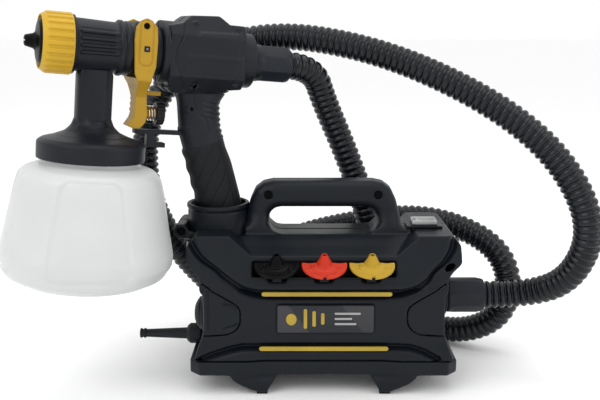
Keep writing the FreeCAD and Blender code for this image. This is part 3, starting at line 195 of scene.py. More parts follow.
BLACK = (0.0040, 0.0060, 0.0092)
FINISHES = {
    "base_shell": finish("BaseShell", BLACK, 0.44),
    "gun_shell": finish("GunShell", (0.0078, 0.0094, 0.0132), 0.42),
    "cuff": finish("Cuff", (0.0090, 0.0115, 0.0165), 0.38),
    "hose": finish("Hose", (0.0028, 0.0042, 0.0070), 0.22, grain=1.2, relief=0.05, spread=0.25, shine=0.30),
    "grip_rubber": finish("GripRubber", (0.0056, 0.0066, 0.0080), 0.60, grain=0.7, relief=0.05),
    "pad_rubber": finish("PadRubber", (0.010, 0.010, 0.010), 0.75, grain=0.8, relief=0.06),
    "cord_rubber": finish("CordRubber", (0.012, 0.014, 0.017), 0.5),
    "seal": finish("Seal", (0.06, 0.06, 0.06), 0.6),
    "screw_black": finish("ScrewBlack", (0.0012, 0.0012, 0.0014), 0.6, grain=0.3, relief=0.01, shine=0.05),
    "screw_steel": finish("ScrewSteel", (0.20, 0.20, 0.21), 0.32, metal=1.0, grain=0.3, relief=0.01),
    "spring_wire": finish("SpringWire", (0.66, 0.64, 0.58), 0.22, metal=1.0, grain=0.4, relief=0.01),
    "tray": finish("Tray", (0.004, 0.0045, 0.0055), 0.6),
    "badge": finish("Badge", (0.028, 0.030, 0.036), 0.35, coat=0.25),
    "accent": finish("Accent", (0.40, 0.285, 0.040), 0.42, grain=0.6, relief=0.02, spread=0.10),
    "dark_plastic": finish("DarkPlastic", (0.008, 0.008, 0.009), 0.45),
    "switch_rocker": finish("SwitchRocker", (0.36, 0.365, 0.36), 0.42, coat=0.1),
    "foam": finish("Foam", (0.03, 0.03, 0.03), 0.95, grain=1.5, relief=0.8, spread=0.4),
    "cap_black": finish("CapBlack", (0.0012, 0.0013, 0.0016), 0.34, shine=0.08),
    "cap_red": finish("CapRed", (0.50, 0.030, 0.010), 0.40, grain=0.6, spread=0.08),
    "cap_yellow": finish("CapYellow", (0.40, 0.252, 0.020), 0.42, grain=0.6, spread=0.08),
    "nut_yellow": finish("NutYellow", (0.52, 0.320, 0.024), 0.38, grain=0.7, spread=0.07),
    "trigger_yellow": finish("TriggerYellow", (0.385, 0.225, 0.018), 0.42, grain=0.6, spread=0.08),
    "fluid_metal": finish("FluidMetal", (0.62, 0.62, 0.61), 0.3, metal=1.0, grain=0.3, relief=0.01),
    "tube_plastic": finish("TubePlastic", (0.60, 0.61, 0.60), 0.35),
    "blower_case": finish("BlowerCase", (0.06, 0.06, 0.065), 0.5),
    "motor_iron": finish("MotorIron", (0.20, 0.17, 0.15), 0.5, metal=0.8, grain=0.9),
    "fan_metal": finish("FanMetal", (0.6, 0.6, 0.61), 0.35, metal=1.0),
    "bearing_steel": finish("BearingSteel", (0.45, 0.45, 0.45), 0.25, metal=1.0),
    "cup_plastic": finish("CupPlastic", (0.56, 0.575, 0.57), 0.32, grain=2.5, relief=0.03, spread=0.02,
                          dust=0.03, shine=0.35, Subsurface_Weight=0.25, Subsurface_Scale=0.006,
                          Subsurface_Radius=(1, 1, 1)),
}


# ---------------------------------------------------------------- mesh helpers

def smooth(low, high, x):
    t = np.clip((x - low) / (high - low), 0, 1)
    return t * t * (3 - 2 * t)


def line_distance(x, z, points):
    """Distance in a plane from each (x, z) to an open polyline."""
    best = np.full(len(x), 1e9)
    for (ax, az), (bx, bz) in zip(points, points[1:]):
        dx, dz = bx - ax, bz - az
        t = np.clip(((x - ax) * dx + (z - az) * dz) / (dx * dx + dz * dz), 0, 1)
        best = np.minimum(best, np.hypot(x - ax - t * dx, z - az - t * dz))
    return best


def inside(x, z, points):
    """Signed distance to a closed polygon, positive inside."""
    far = line_distance(x, z, list(points) + [points[0]])
    odd = np.zeros(len(x), bool)
    for (ax, az), (bx, bz) in zip(points, list(points[1:]) + [points[0]]):
        if az != bz:
            crosses = (az > z) != (bz > z)
            odd ^= crosses & (x < (bx - ax) * (z - az) / (bz - az) + ax)
    return np.where(odd, far, -far)


def flowing(points, steps=8):
    """A smooth line through the points."""
    p = np.array(points, float)
    ends = np.vstack([2 * p[0] - p[1], p, 2 * p[-1] - p[-2]])
    out = []
    for a, b, c, d in zip(ends, ends[1:], ends[2:], ends[3:]):
        for t in np.arange(steps) / steps:
            out.append(0.5 * (2 * b + (c - a) * t + (2 * a - 5 * b + 4 * c - d) * t ** 2
                              + (3 * b - a - 3 * c + d) * t ** 3))
    return [tuple(v) for v in out] + [tuple(p[-1])]


def rounded(points, radius, steps=4):
    """An outline with its corners turned into arcs."""
    p = [np.array(v, float) for v in points]
    out = []
    for i, here in enumerate(p):
        a, b = p[i - 1] - here, p[(i + 1) % len(p)] - here
        la, lb = np.linalg.norm(a), np.linalg.norm(b)
        reach = min(radius, 0.45 * la, 0.45 * lb)
        a, b = here + a / la * reach, here + b / lb * reach
        for t in np.linspace(0, 1, steps + 1):
            out.append(tuple((1 - t) ** 2 * a + 2 * t * (1 - t) * here + t * t * b))
    return out


def piece(name, points, faces, place, nodes=(), body=None, slot=None, look=None):
    """A shaded piece from a frame's millimetres. It stands for the CAD nodes and rides with them."""
    co = np.asarray(points, float) @ np.array(place.to_3x3()).T + np.array(place.translation)
    mesh = bpy.data.meshes.new(name)
    mesh.from_pydata(co.tolist(), [], [tuple(int(i) for i in f) for f in faces])
    tidy = bmesh.new()
    tidy.from_mesh(mesh)
    bmesh.ops.remove_doubles(tidy, verts=tidy.verts, dist=1e-6)
    bmesh.ops.dissolve_degenerate(tidy, edges=tidy.edges, dist=1e-7)
    bmesh.ops.recalc_face_normals(tidy, faces=tidy.faces)
    tidy.to_mesh(mesh)
    tidy.free()
    return settle(name, mesh, nodes, body, slot, look)


def settle(name, mesh, nodes, body=None, slot=None, look=None):
    """Links a mesh as a shaded piece. With body False, the caller says what it rides on."""
    mesh.shade_smooth()
    obj = bpy.data.objects.new(name, mesh)
    bpy.context.scene.collection.objects.link(obj)
    slot = slot or SLOT_OF[nodes[0]]
    mesh.materials.clear()
    mesh.materials.append(look or FINISHES[slot])
    if nodes:
        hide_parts(*nodes)
    if body is not False:
        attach(obj, body or BODY_OF[nodes[0]])
    return obj


def grid_faces(rings, around, closed_rings=False):
    """Faces between rings of points: a loop of rings, or a row of them with both ends capped."""
    faces = []
    rows = rings if closed_rings else rings - 1
    for i in range(rows):
        for j in range(around):
            a, b = i * around, (i + 1) % rings * around
            k = (j + 1) % around
            faces.append((a + j, a + k, b + k, b + j))
    if not closed_rings:
        faces.append(tuple(range(around))[::-1])
        faces.append(tuple(range((rings - 1) * around, rings * around)))
    return faces


def lathe(name, outline, fillet, axis, place, nodes=(), around=96, bend=None, centre=(0, 0, 0), **kw):
    """A turned piece from a closed (radius, height) outline, about X or Z through centre."""
    outline = rounded(outline, fillet) if fillet else outline
    turn = np.arange(around) * 2 * math.pi / around
    rows = []
    for radius, height in outline:
        c, s, h = radius * np.cos(turn), radius * np.sin(turn), np.full(around, height)
        rows.append(np.stack([h, c, s] if axis == "X" else [c, s, h], axis=1))
    co = np.concatenate(rows)
    if bend:
        co = bend(co)
    faces = grid_faces(len(outline), around, True)
    return piece(name, co + np.array(centre, float), faces, place, nodes, **kw)


def softened(name, nodes, voxel, passes, place, bend=None, after=2):
    """The CAD nodes' own shape with softened edges, its points then moved by bend and evened out."""
    whole = bmesh.new()
    for node in nodes:
        source = frame["nodes"][node]
        start = len(whole.verts)
        whole.from_mesh(source.data)
        whole.verts.ensure_lookup_table()
        bmesh.ops.transform(whole, matrix=source.matrix_world, verts=whole.verts[start:])
    mesh = bpy.data.meshes.new(name)
    whole.to_mesh(mesh)
    whole.free()
    mesh.transform(place.inverted())
    mesh = modified(mesh, ("REMESH", {"mode": "VOXEL", "voxel_size": voxel}),
                    ("SMOOTH", {"factor": 0.5, "iterations": passes}))
    if bend:
        co = np.empty(len(mesh.vertices) * 3)
        mesh.vertices.foreach_get("co", co)
        mesh.vertices.foreach_set("co", bend(co.reshape(-1, 3)).ravel())
        mesh = modified(mesh, ("SMOOTH", {"factor": 0.5, "iterations": after}))
    mesh.transform(place)
    mesh.name = name
    return settle(name, mesh, nodes)


def modified(mesh, *steps):
    """A new mesh: this one with the modifiers applied in turn."""
    obj = bpy.data.objects.new("Work", mesh)
    bpy.context.scene.collection.objects.link(obj)
    for kind, values in steps:
        mod = obj.modifiers.new(kind, kind)
        for key, value in values.items():
            setattr(mod, key, value)
    bpy.context.view_layer.update()
    out = bpy.data.meshes.new_from_object(obj.evaluated_get(bpy.context.evaluated_depsgraph_get()))
    bpy.data.objects.remove(obj)
    return out


# ---------------------------------------------------------------- air hose

ROUTE = [
    (0.227, 0.0345, 0.078), (0.271, 0.0345, 0.078), (0.304, 0.0045, 0.103), (0.314, -0.0175, 0.160),
    (0.278, -0.0105, 0.226), (0.214, 0.0195, 0.275), (0.123, 0.0725, 0.315), (0.023, 0.1095, 0.332),
    (-0.056, 0.1195, 0.312), (-0.102, 0.1105, 0.270), (-0.116, 0.1025, 0.220), (-0.112, 0.1005, 0.160),
    (-0.084, 0.1145, 0.100), (-0.035, 0.1325, 0.042), (0.028, 0.1425, 0.014), (0.098, 0.1445, 0.014),
    (0.166, 0.1365, 0.014), (0.222, 0.0985, 0.014), (0.260, 0.0785, 0.042), (0.264, 0.0785, 0.090),
    (0.240, 0.0965, 0.122), (0.180, 0.1285, 0.138), (0.104, 0.1545, 0.124), (0.035, 0.1745, 0.102),
    (-0.020, 0.1985, 0.058), (-0.020, 0.2465, 0.018), (0.046, 0.2805, 0.014), (0.120, 0.2565, 0.018),
    (0.144, 0.1945, 0.040), (0.130, 0.1245, 0.086), (0.114, 0.1055, 0.156), (0.091, 0.1045, 0.216),
    (0.070, 0.0945, 0.264),
]
HOSE_D = 0.027
RIB_PITCH = 0.0069
RIB_DEPTH = 0.0024
END_LENGTH = 0.002
END_RADIUS = 0.0112


def route_line():
    """Points of the hose's smooth line, read from its NURBS spline."""
    curve = bpy.data.curves.new("HoseRoute", "CURVE")
    curve.dimensions = "3D"
    curve.resolution_u = 24
    points = [Vector(p) for p in ROUTE] + [GUN @ Vector((174, 0, -3)), GUN @ Vector((146, 0, -3))]
    spline = curve.splines.new("NURBS")
    spline.points.add(len(points) - 1)
    for spot, point in zip(points, spline.points):
        point.co = (*spot, 1)
    spline.order_u = 3
    spline.use_endpoint_u = True
    obj = bpy.data.objects.new("HoseRoute", curve)
    bpy.context.scene.collection.objects.link(obj)
    line = bpy.data.meshes.new_from_object(obj)
    co = np.array([v.co for v in line.vertices])
    bpy.data.objects.remove(obj)
    return co


def even(line, step):
    """The line divided into equal steps, and how far along it each new point is."""
    run = np.concatenate([[0], np.cumsum(np.linalg.norm(np.diff(line, axis=0), axis=1))])
    count = int(round(run[-1] / step))
    at = np.linspace(0, run[-1], count + 1)
    return np.stack([np.interp(at, run, line[:, k]) for k in range(3)], axis=1), at


def carried_frames(line):
    """Two directions across the line at each point, which turn as little as they can."""
    ahead = np.gradient(line, axis=0)
    ahead /= np.linalg.norm(ahead, axis=1)[:, None]
    side = np.cross(ahead[0], (0, 0, 1.0))
    sides = []
    for d in ahead:
        side = side - d * side.dot(d)
        side /= np.linalg.norm(side)
        sides.append(side)
    sides = np.array(sides)
    return sides, np.cross(ahead, sides)


def air_hose():
    """The ribbed hose, with a plain end inside each cuff."""
    around, per_rib = 40, 10
    line, at = even(route_line(), RIB_PITCH / per_rib)
    across, upward = carried_frames(line)
    phase = at / RIB_PITCH % 1
    crest = (1 - np.abs(2 * phase - 1) ** 1.9) ** 0.9
    radius = HOSE_D / 2 - RIB_DEPTH + RIB_DEPTH * crest
    ends = np.minimum(at, at[-1] - at)
    radius = np.where(ends < END_LENGTH, END_RADIUS, radius)
    turn = np.arange(around) * 2 * math.pi / around
    rings = [c + r * (np.outer(np.cos(turn), a) + np.outer(np.sin(turn), b))
             for c, r, a, b in zip(line, radius, across, upward)]
    faces = grid_faces(len(rings), around)
    hose = piece("air_hose_ribbed", np.concatenate(rings), faces, Matrix(), ["air_hose"], body=False)
    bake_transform(hose)


air_hose()


# ---------------------------------------------------------------- base: grooves and bib panel

UPPER_GROOVE = flowing([(-124, 152), (-122, 146), (-114, 132), (-95, 116), (-76, 103), (-59, 97.2),
                        (-40, 96.3), (40, 96.3), (63, 97.2), (75, 99), (91, 106), (105, 120),
                        (116, 136), (119, 152)])
LOWER_GROOVE = flowing([(-119.5, 31), (-103, 38), (-80.5, 44), (-60, 45), (60, 45), (87, 42.5), (106, 34)])
HANDLE_SIDE = [(80, 138), (77, 144), (73, 163), (69.5, 176), (64.5, 186.5), (57, 192), (48, 194)]
HANDLE_OUT = HANDLE_SIDE + [(-x, z) for x, z in HANDLE_SIDE[::-1]]
OPEN_SIDE = [(40, 145), (45.5, 146.3), (49.4, 149.4), (51.6, 153.8), (51.6, 160.2), (49.4, 164.6),
             (45.5, 167.7), (40, 169)]
HANDLE_IN = OPEN_SIDE + [(-x, z) for x, z in OPEN_SIDE[::-1]]
BADGE_SEAT = [(-44.6, 57.8), (47.8, 57.8), (47.8, 87.4), (-44.6, 87.4)]
WAIST_MM = 5.5
WAIST_FOOT, WAIST_HEIGHT = 97, 29
FOOT_SPREAD_MM = 5


OUT_OF_REACH = 400


def bib_height(x):
    """Height of the upper groove at x, or out of reach beyond its ends."""
    line = np.array(UPPER_GROOVE)
    order = np.argsort(line[:, 0])
    return np.interp(x, line[order, 0], line[order, 1], left=OUT_OF_REACH, right=OUT_OF_REACH)


def housing_bend(p):
    """Bib panel, grooves, badge seat, crowned handle with fillets at its foot, and the waist."""
    x, y, z = p.T
    depth, sign = np.abs(y), np.sign(y)
    wall = smooth(36, 47, depth)
    above = z > bib_height(x)
    away = line_distance(x, z, UPPER_GROOVE)
    signed = np.where(above, away, -away)
    groove = 8.5 * np.exp(-((signed + 1.2) / 2.9) ** 2)
    brow = np.where(z > 102.5, 60.5 - (z - 102.5) * 0.179, np.interp(z, [99.5, 102.5], [56, 60.5]))
    flank = np.clip(brow - (56 - (z - 100.5) * 0.09), 0, 9) * smooth(1.0, -2.0, signed) * smooth(98, 101, z)
    roll = 1.3 * np.clip(1 - signed / 7, 0, 1) ** 2 * above * smooth(99, 103, z)
    low = 6.8 * np.exp(-(line_distance(x, z, LOWER_GROOVE) / 2.5) ** 2) * (z > 32.5)
    low = low + 3 * smooth(43, 33, z) * smooth(76, 52, np.abs(x))
    inward = (np.where(z > 90, np.maximum(groove, flank + 0.35 * groove), 0) + roll + low) * wall
    seat = inside(x, z, rounded(BADGE_SEAT, 4))
    inward += 0.9 * smooth(-0.5, 0.6, seat) * wall * (y < 0)
    depth = depth - inward
    outer = line_distance(x, z, HANDLE_OUT)
    hole = line_distance(x, z, HANDLE_IN + HANDLE_IN[:1])

    def crown(t, reach, least):
        """A rounded edge: least at the outline, 1 at reach from it."""
        u = 1 - np.clip(t / reach, 0, 1)
        return least + (1 - least) * np.sqrt(np.clip(1 - u * u, 0, 1))

    high = smooth(148, 156, z) * (np.abs(y) < 19)
    scale = crown(outer, 13, 0.40) * crown(hole, 9, 0.55)
    depth = depth * (1 + (scale - 1) * high)
    swell = np.sin(np.pi * np.clip((z - WAIST_FOOT) / WAIST_HEIGHT, 0, 1))
    waist = WAIST_MM * swell ** 1.5 * smooth(92, 110, np.abs(x))
    foot = smooth(8, 17, depth) * (1 - smooth(17, 44, depth))
    foot = foot * (1 - smooth(148, 166, z)) * smooth(126, 140, z)
    depth = depth + FOOT_SPREAD_MM * foot * (np.abs(x) < 84)
    return np.stack([x - np.sign(x) * waist, np.where(sign == 0, 1, sign) * depth, z], axis=1)


def cover_bend(p):
    """The same surface as the housings, with two slits and two upright lines on the left cover."""
    p = housing_bend(p)
    x, y, z = p.T
    slits = np.minimum(line_distance(x, z, [(-92, 86), (-83, 84), (-80.5, 81)]),
                       line_distance(x, z, [(-92, 62), (-83, 64.5), (-80.5, 67)]))
    lines = np.minimum(line_distance(x, z, [(-112, 100), (-112, 60)]),
                       line_distance(x, z, [(-107, 98), (-107, 62)]))
    cut = 2.2 * np.exp(-(slits / 1.1) ** 2) + 1.8 * np.exp(-(lines / 1.0) ** 2)
    cut = cut * (x < 0) * (np.abs(y) > 40)
    return np.stack([x, y - np.sign(y) * cut, z], axis=1)


def skirt_bend(p):
    """Feet with a bulging outer edge, and the middle of the skirt set back."""
    x, y, z = p.T
    down = np.clip((18 - z) / 15, 0, 1)
    out = 20 * down * (1 - down) * smooth(44, 76, np.abs(x)) * (z < 18)
    back = 3 * smooth(76, 52, np.abs(x)) * smooth(40, 50, np.abs(y)) * smooth(12, 18, z)
    return np.stack([x + np.sign(x) * out, y - np.sign(y) * back, z], axis=1)


UPPER_BAR_Z, LOWER_BAR_Z = 96.8, 44.2
BAR_SLIMMING = 0.84


def bar_bend(p):
    """Bars a little slimmer than their seats."""
    x, y, z = p.T
    middle = np.where(z > 70, UPPER_BAR_Z, LOWER_BAR_Z)
    return np.stack([x, y, middle + (z - middle) * BAR_SLIMMING], axis=1)


softened("housing_front_moulded", ["front_housing"], 1.0, 9, BASE, housing_bend)
softened("housing_rear_moulded", ["rear_housing"], 1.0, 9, BASE, housing_bend)
softened("skirt_moulded", ["base_tray"], 1.0, 12, BASE, skirt_bend)
softened("filter_cover_moulded", ["filter_cover"], 0.8, 6, BASE, cover_bend)
softened("outlet_panel_moulded", ["outlet_panel"], 0.8, 6, BASE, cover_bend)


RING_PITCH_MM = 2.6


def boss_bend(p):
    """Fine rings on the finger boss."""
    x, y, z = p.T
    rings = 0.45 * np.sin(np.hypot(y, z) * 2 * math.pi / RING_PITCH_MM) * (x < -113)
    return np.stack([x + rings, y, z], axis=1)


HOLDER_X = -101


def sleeve_bend(p):
    """A rolled lip and a shallow step below it."""
    x, y, z = p.T
    from_middle = x - HOLDER_X
    r = np.hypot(from_middle, y)
    grow = 0.9 * smooth(167, 168.2, z) * (r > 27) - 0.5 * np.exp(-((z - 165.8) / 0.7) ** 2) * (r > 28)
    scale = 1 + grow / np.maximum(r, 1)
    return np.stack([HOLDER_X + from_middle * scale, y * scale, z], axis=1)


softened("holder_moulded", ["holder_sleeve"], 0.7, 8, BASE, sleeve_bend)
softened("accent_bars_soft", ["accent_bars"], 0.35, 6, BASE, bar_bend)
softened("switch_plate_soft", ["switch_plate"], 0.4, 4, BASE)
softened("rocker_soft", ["rocker"], 0.3, 8, BASE)
softened("outlet_ring_soft", ["outlet_socket"], 0.5, 4, BASE)
lathe("cord_relief_turned", [(3.2, -181), (4.8, -181), (4.8, -179.4), (4.0, -178.6), (4.0, -177.6),
                             (4.9, -177), (4.9, -175.6), (3.9, -174.8), (5.6, -134), (7.4, -134),
                             (10, -131), (10, -120), (6.8, -120), (6.8, -110), (3.2, -110)],
      0.7, "X", BASE, ["cord_relief"], around=64, centre=(0, 0, 38))


# ---------------------------------------------------------------- base: spare caps, badge, switch bezel

CAP_PITCH, CAP_Y, CAP_Z = 43, -63.6, 125.2
CAP_LEAN_DEG = 20


def spare_hat(i, colour):
    """Spare air cap i from the middle one: two horn marks, a small window and a dished brim."""
    lean = Matrix.Translation((CAP_PITCH * i, CAP_Y, CAP_Z))
    lean = lean @ Matrix.Rotation(math.radians(CAP_LEAN_DEG), 4, "X")
    forth, back = np.array(lean), np.array(lean.inverted())

    def bend(p):
        x, y, z = (p @ back[:3, :3].T + back[:3, 3]).T
        r = np.hypot(x, y)
        horns = sum(np.exp(-((x - s * 12.5) ** 2 / 2.2 + (y + 8.5) ** 2 / 5)) for s in (-1, 1))
        window = np.exp(-((x + 10.6) / 1.5) ** 4 - ((y + 1.8) / 1.7) ** 4)
        dish = 0.5 * smooth(9, 12, r) * (1 - smooth(15, 18.5, r))
        z = z + np.where((z > 1.6) & (r > 7.6), 1.1 * horns - 1.8 * window - dish, 0)
        return np.stack([x, y, z], axis=1) @ forth[:3, :3].T + forth[:3, 3]

    softened(f"spare_cap_{colour}_shaped", [f"spare_cap_{colour}"], 0.34, 3, BASE, bend)


for i, colour in enumerate(("black", "red", "yellow")):
    spare_hat(i - 1, colour)


def plate(name, outline, low, high, place, edge=0.5, **kw):
    """A flat plate in the XZ plane from depth low to high, with a rounded front rim."""
    middle = np.mean(outline, axis=0)
    rows = []
    for y, inset in ((high, 0), (low + edge, 0), (low + edge * 0.3, edge * 0.3), (low, edge)):
        for p in np.array(outline):
            a, b = p - (p - middle) / np.abs(p - middle).max() * inset
            rows.append((a, y, b))
    return piece(name, rows, grid_faces(4, len(outline)), place, **kw)


def long_lathe(name, outline, fillet, step, *rest, **kw):
    """A turned piece whose outline is cut into short steps, so that bend has points to move."""
    dense = rounded(outline, fillet)
    fine = []
    for a, b in zip(dense, dense[1:] + dense[:1]):
        parts = max(1, int(math.dist(a, b) / step))
        fine += [tuple(np.array(a) + (np.array(b) - np.array(a)) * t / parts) for t in range(parts)]
    return lathe(name, fine, 0, *rest, **kw)


long_lathe("filter_cover_boss", [(0, -122.5), (8, -121.6), (14, -118.8), (18, -113.5), (18.8, -107),
                                 (0, -107)],
           1.2, 0.8, "X", BASE, around=96, bend=boss_bend, centre=(0, -27, 69),
           body=BODY_OF["filter_cover"], slot="base_shell")


def badge_look():
    """Dark plate crossed by slanted lighter bands under a clear film."""
    mat = FINISHES["badge"].copy()
    mat.name = "BadgeBands"
    nodes, links = mat.node_tree.nodes, mat.node_tree.links
    shader = nodes["Principled BSDF"]
    where = nodes.new("ShaderNodeTexCoord")
    split = nodes.new("ShaderNodeSeparateXYZ")
    links.new(where.outputs["Object"], split.inputs["Vector"])
    slant = nodes.new("ShaderNodeMath")
    slant.operation = "MULTIPLY_ADD"
    slant.inputs[1].default_value = 0.75
    links.new(split.outputs["Z"], slant.inputs[0])
    links.new(split.outputs["X"], slant.inputs[2])
    ramp = nodes.new("ShaderNodeValToRGB")
    scaled = nodes.new("ShaderNodeMapRange")
    scaled.inputs["From Min"].default_value = 0.068
    scaled.inputs["From Max"].default_value = 0.180
    links.new(slant.outputs["Value"], scaled.inputs["Value"])
    links.new(scaled.outputs["Result"], ramp.inputs["Fac"])
    ramp.color_ramp.interpolation = "CONSTANT"
    ramp.color_ramp.elements[0].color = (0.034, 0.033, 0.038, 1)
    ramp.color_ramp.elements[1].position = 0.72
    ramp.color_ramp.elements[1].color = (0.031, 0.031, 0.035, 1)
    band = ramp.color_ramp.elements.new(0.28)
    band.color = (0.013, 0.015, 0.019, 1)
    links.new(ramp.outputs["Color"], shader.inputs["Base Color"])
    return mat


BADGE_FILM = [(-42.9, 59.5), (46.1, 59.5), (46.1, 85.7), (-42.9, 85.7)]
MARK_FRONT, MARK_BACK = -57.45, -56.9
MARK_EDGE = 0.15


def badge():
    """A plain film with a generic drop, three bars and three rules on it."""
    film = rounded(BADGE_FILM, 2.2, 6)
    plate("badge_film", film, -57.1, -55.2, BASE, nodes=["badge_plate"], look=badge_look())
    mark = {"body": "base", "slot": "accent"}
    drop = [(-30 + 4.6 * math.sin(t) * (1 - 0.35 * math.cos(t)),
             71.5 - 5.6 * math.cos(t) + 0.8 * math.cos(2 * t))
            for t in np.linspace(0, 2 * math.pi, 40, endpoint=False)]
    plate("badge_mark_drop", drop, MARK_FRONT, MARK_BACK, BASE, MARK_EDGE, **mark)
    for k, (x, half) in enumerate(((-17, 9.5), (-9, 7.5), (-1, 5.5))):
        bar = rounded([(x - 1.6, 73 - half), (x + 1.6, 73 - half), (x + 1.6, 73 + half),
                       (x - 1.6, 73 + half)], 1.4)
        plate(f"badge_mark_bar_{k}", bar, MARK_FRONT, MARK_BACK, BASE, MARK_EDGE, **mark)
    for k, (z, end) in enumerate(((78, 34), (73, 26), (68, 30))):
        rule = rounded([(10, z - 1), (end, z - 1), (end, z + 1), (10, z + 1)], 0.8)
        plate(f"badge_rule_{k}", rule, MARK_FRONT, MARK_BACK, BASE, MARK_EDGE, body="base",
              slot="switch_rocker")


badge()


SWITCH_X, SWITCH_Y = 96, -12


def bezel():
    """Grey frame round the rocker."""
    rows = []
    for half_x, half_y, z in ((11.8, 8.6, 152.2), (11.8, 8.6, 157.0), (11.2, 8.0, 158.0),
                              (10.6, 7.5, 158.0), (9.9, 6.9, 154.6), (9.9, 6.9, 152.2)):
        low_x, high_x = SWITCH_X - half_x, SWITCH_X + half_x
        low_y, high_y = SWITCH_Y - half_y, SWITCH_Y + half_y
        ring = rounded([(low_x, low_y), (high_x, low_y), (high_x, high_y), (low_x, high_y)], 2, 5)
        rows += [(a, b, z) for a, b in ring]
    piece("switch_bezel", rows, grid_faces(6, len(ring), True), BASE, body="base", slot="switch_rocker")


bezel()


# ---------------------------------------------------------------- hose cuffs

CUFF_FLATS = 8


def cuff_bend(flats, start, end):
    """Long flats down the cuff's sides, fading out at both ends."""
    half = math.pi / flats

    def bend(p):
        x, y, z = p.T
        turn = np.arctan2(z, y)
        r = np.hypot(y, z)
        facet = np.cos(half) / np.cos((turn + half) % (2 * half) - half)
        along = smooth(start, start + 4, x) * (1 - smooth(end - 5, end - 1, x))
        scale = 1 + (facet / 0.985 - 1) * along * 0.8 * (r > 13)
        return np.stack([x, y * scale, z * scale], axis=1)

    return bend


long_lathe("outlet_cuff_shaped", [(11.4, 107), (15.8, 107), (16.0, 121.5), (16.9, 123), (16.9, 152),
                                  (15.6, 158), (12.6, 159), (8.5, 159), (8.5, 134), (11.4, 134)],
           1.2, 1.0, "X", BASE, ["outlet_cuff"], around=144, bend=cuff_bend(CUFF_FLATS, 124, 157),
           centre=(0, 0, 78))
long_lathe("gun_cuff_shaped", [(11.4, 105.8), (17.0, 105.8), (17.6, 108.4), (17.6, 139), (16.2, 145),
                               (13.2, 146), (8.5, 146), (8.5, 127), (11.4, 127)],
           1.2, 1.0, "X", GUN, ["gun_cuff"], around=144, bend=cuff_bend(CUFF_FLATS, 112, 144),
           centre=(0, 0, -3))


# ---------------------------------------------------------------- gun: head, nut and cap

NUT_RIBS = 24


def nut_bend(p):
    """Flat-topped ribs with round valleys."""
    x, y, z = p.T
    r = np.hypot(y, z)
    turn = np.arctan2(z, y)
    wave = 0.5 + 0.5 * np.cos(turn * NUT_RIBS)
    rib = smooth(0.18, 0.62, wave)
    along = smooth(-84.4, -81.5, x) * (1 - smooth(-62.6, -61.4, x))
    scale = 1 - (1 - rib) * 1.5 * along * (r > 25) / np.maximum(r, 1)
    return np.stack([x, y * scale, z * scale], axis=1)


long_lathe("retaining_nut_ribbed", [(22.4, -87), (23.2, -87.1), (26.4, -82), (26.6, -61), (23.6, -61),
                                    (23.6, -78.6), (22.4, -78.8)],
           0.9, 0.8, "X", GUN, ["retaining_nut"], around=480, bend=nut_bend)


def cap_bend(p):
    """A fine fan slot across the tip."""
    x, y, z = p.T
    slot = np.exp(-(z / 0.6) ** 2) * smooth(-97.6, -98.8, x) * (np.hypot(y, z) < 4.2)
    return np.stack([x + 0.8 * slot, y, z], axis=1)


long_lathe("air_cap_shaped", [(1.6, -96.6), (1.6, -99.2), (3.6, -99.5), (4.9, -98.4), (5.7, -95),
                              (6.6, -91.8), (8.4, -90.2), (12, -89.5), (17.2, -88.6), (21.7, -84.8),
                              (21.7, -79.2), (17, -79.2), (15, -84.6), (2.7, -89.4)],
           0.8, 0.5, "X", GUN, ["air_cap"], around=144, bend=cap_bend)


def head_bend(p):
    """The sleeve narrows a little to the rear and carries raised ribs on its flanks."""
    x, y, z = p.T
    r = np.hypot(y, z)
    taper = 1 - 0.035 * smooth(-58, -24, x) * (x < -22)
    run = smooth(-57, -54.5, x) * (1 - smooth(-28, -25.5, x)) * (r > 20) * (np.abs(y) > 10)
    ridges = sum(np.exp(-((z - 6 * i) / 1.3) ** 4) for i in (-1, 0, 1, 2))
    valleys = (z > -9) * (z < 15) * (1 - np.clip(ridges, 0, 1))
    taper = taper + run * (0.7 * ridges - 0.5 * valleys) / np.maximum(r, 1)
    scale = np.where(r > 15, taper, 1)
    return np.stack([x, y * scale, z * scale], axis=1)


softened("spray_head_moulded", ["spray_head"], 0.5, 5, GUN, head_bend)
softened("head_flange_soft", ["head_flange"], 0.6, 4, GUN)
softened("neck_tube_soft", ["neck_tube"], 0.6, 3, GUN)


# ---------------------------------------------------------------- gun: shells, grip, guard, trigger

SHELL_LINE = flowing([(36.5, 37), (33, 18), (27, 2), (26.5, -8.6), (33, -22), (40, -34)], 6)
UPPER_PANEL = [(48, 20), (90, 21.5), (90, -4), (46, -4), (34, -8.6)]
GRIP_SEAM = flowing([(48, -33), (49, -44), (55, -54), (62, -60), (66, -72)], 6)
SCREWS = [(44, 25.5), (88, 23), (46, -28), (88, -23), (46.5, -50)]
WELL_RADIUS, WELL_CORE, WELL_RIM = 3.8, 2.3, 6.5
BARREL_BOTTOM = -34
REAR_SHIFT_MM = 5


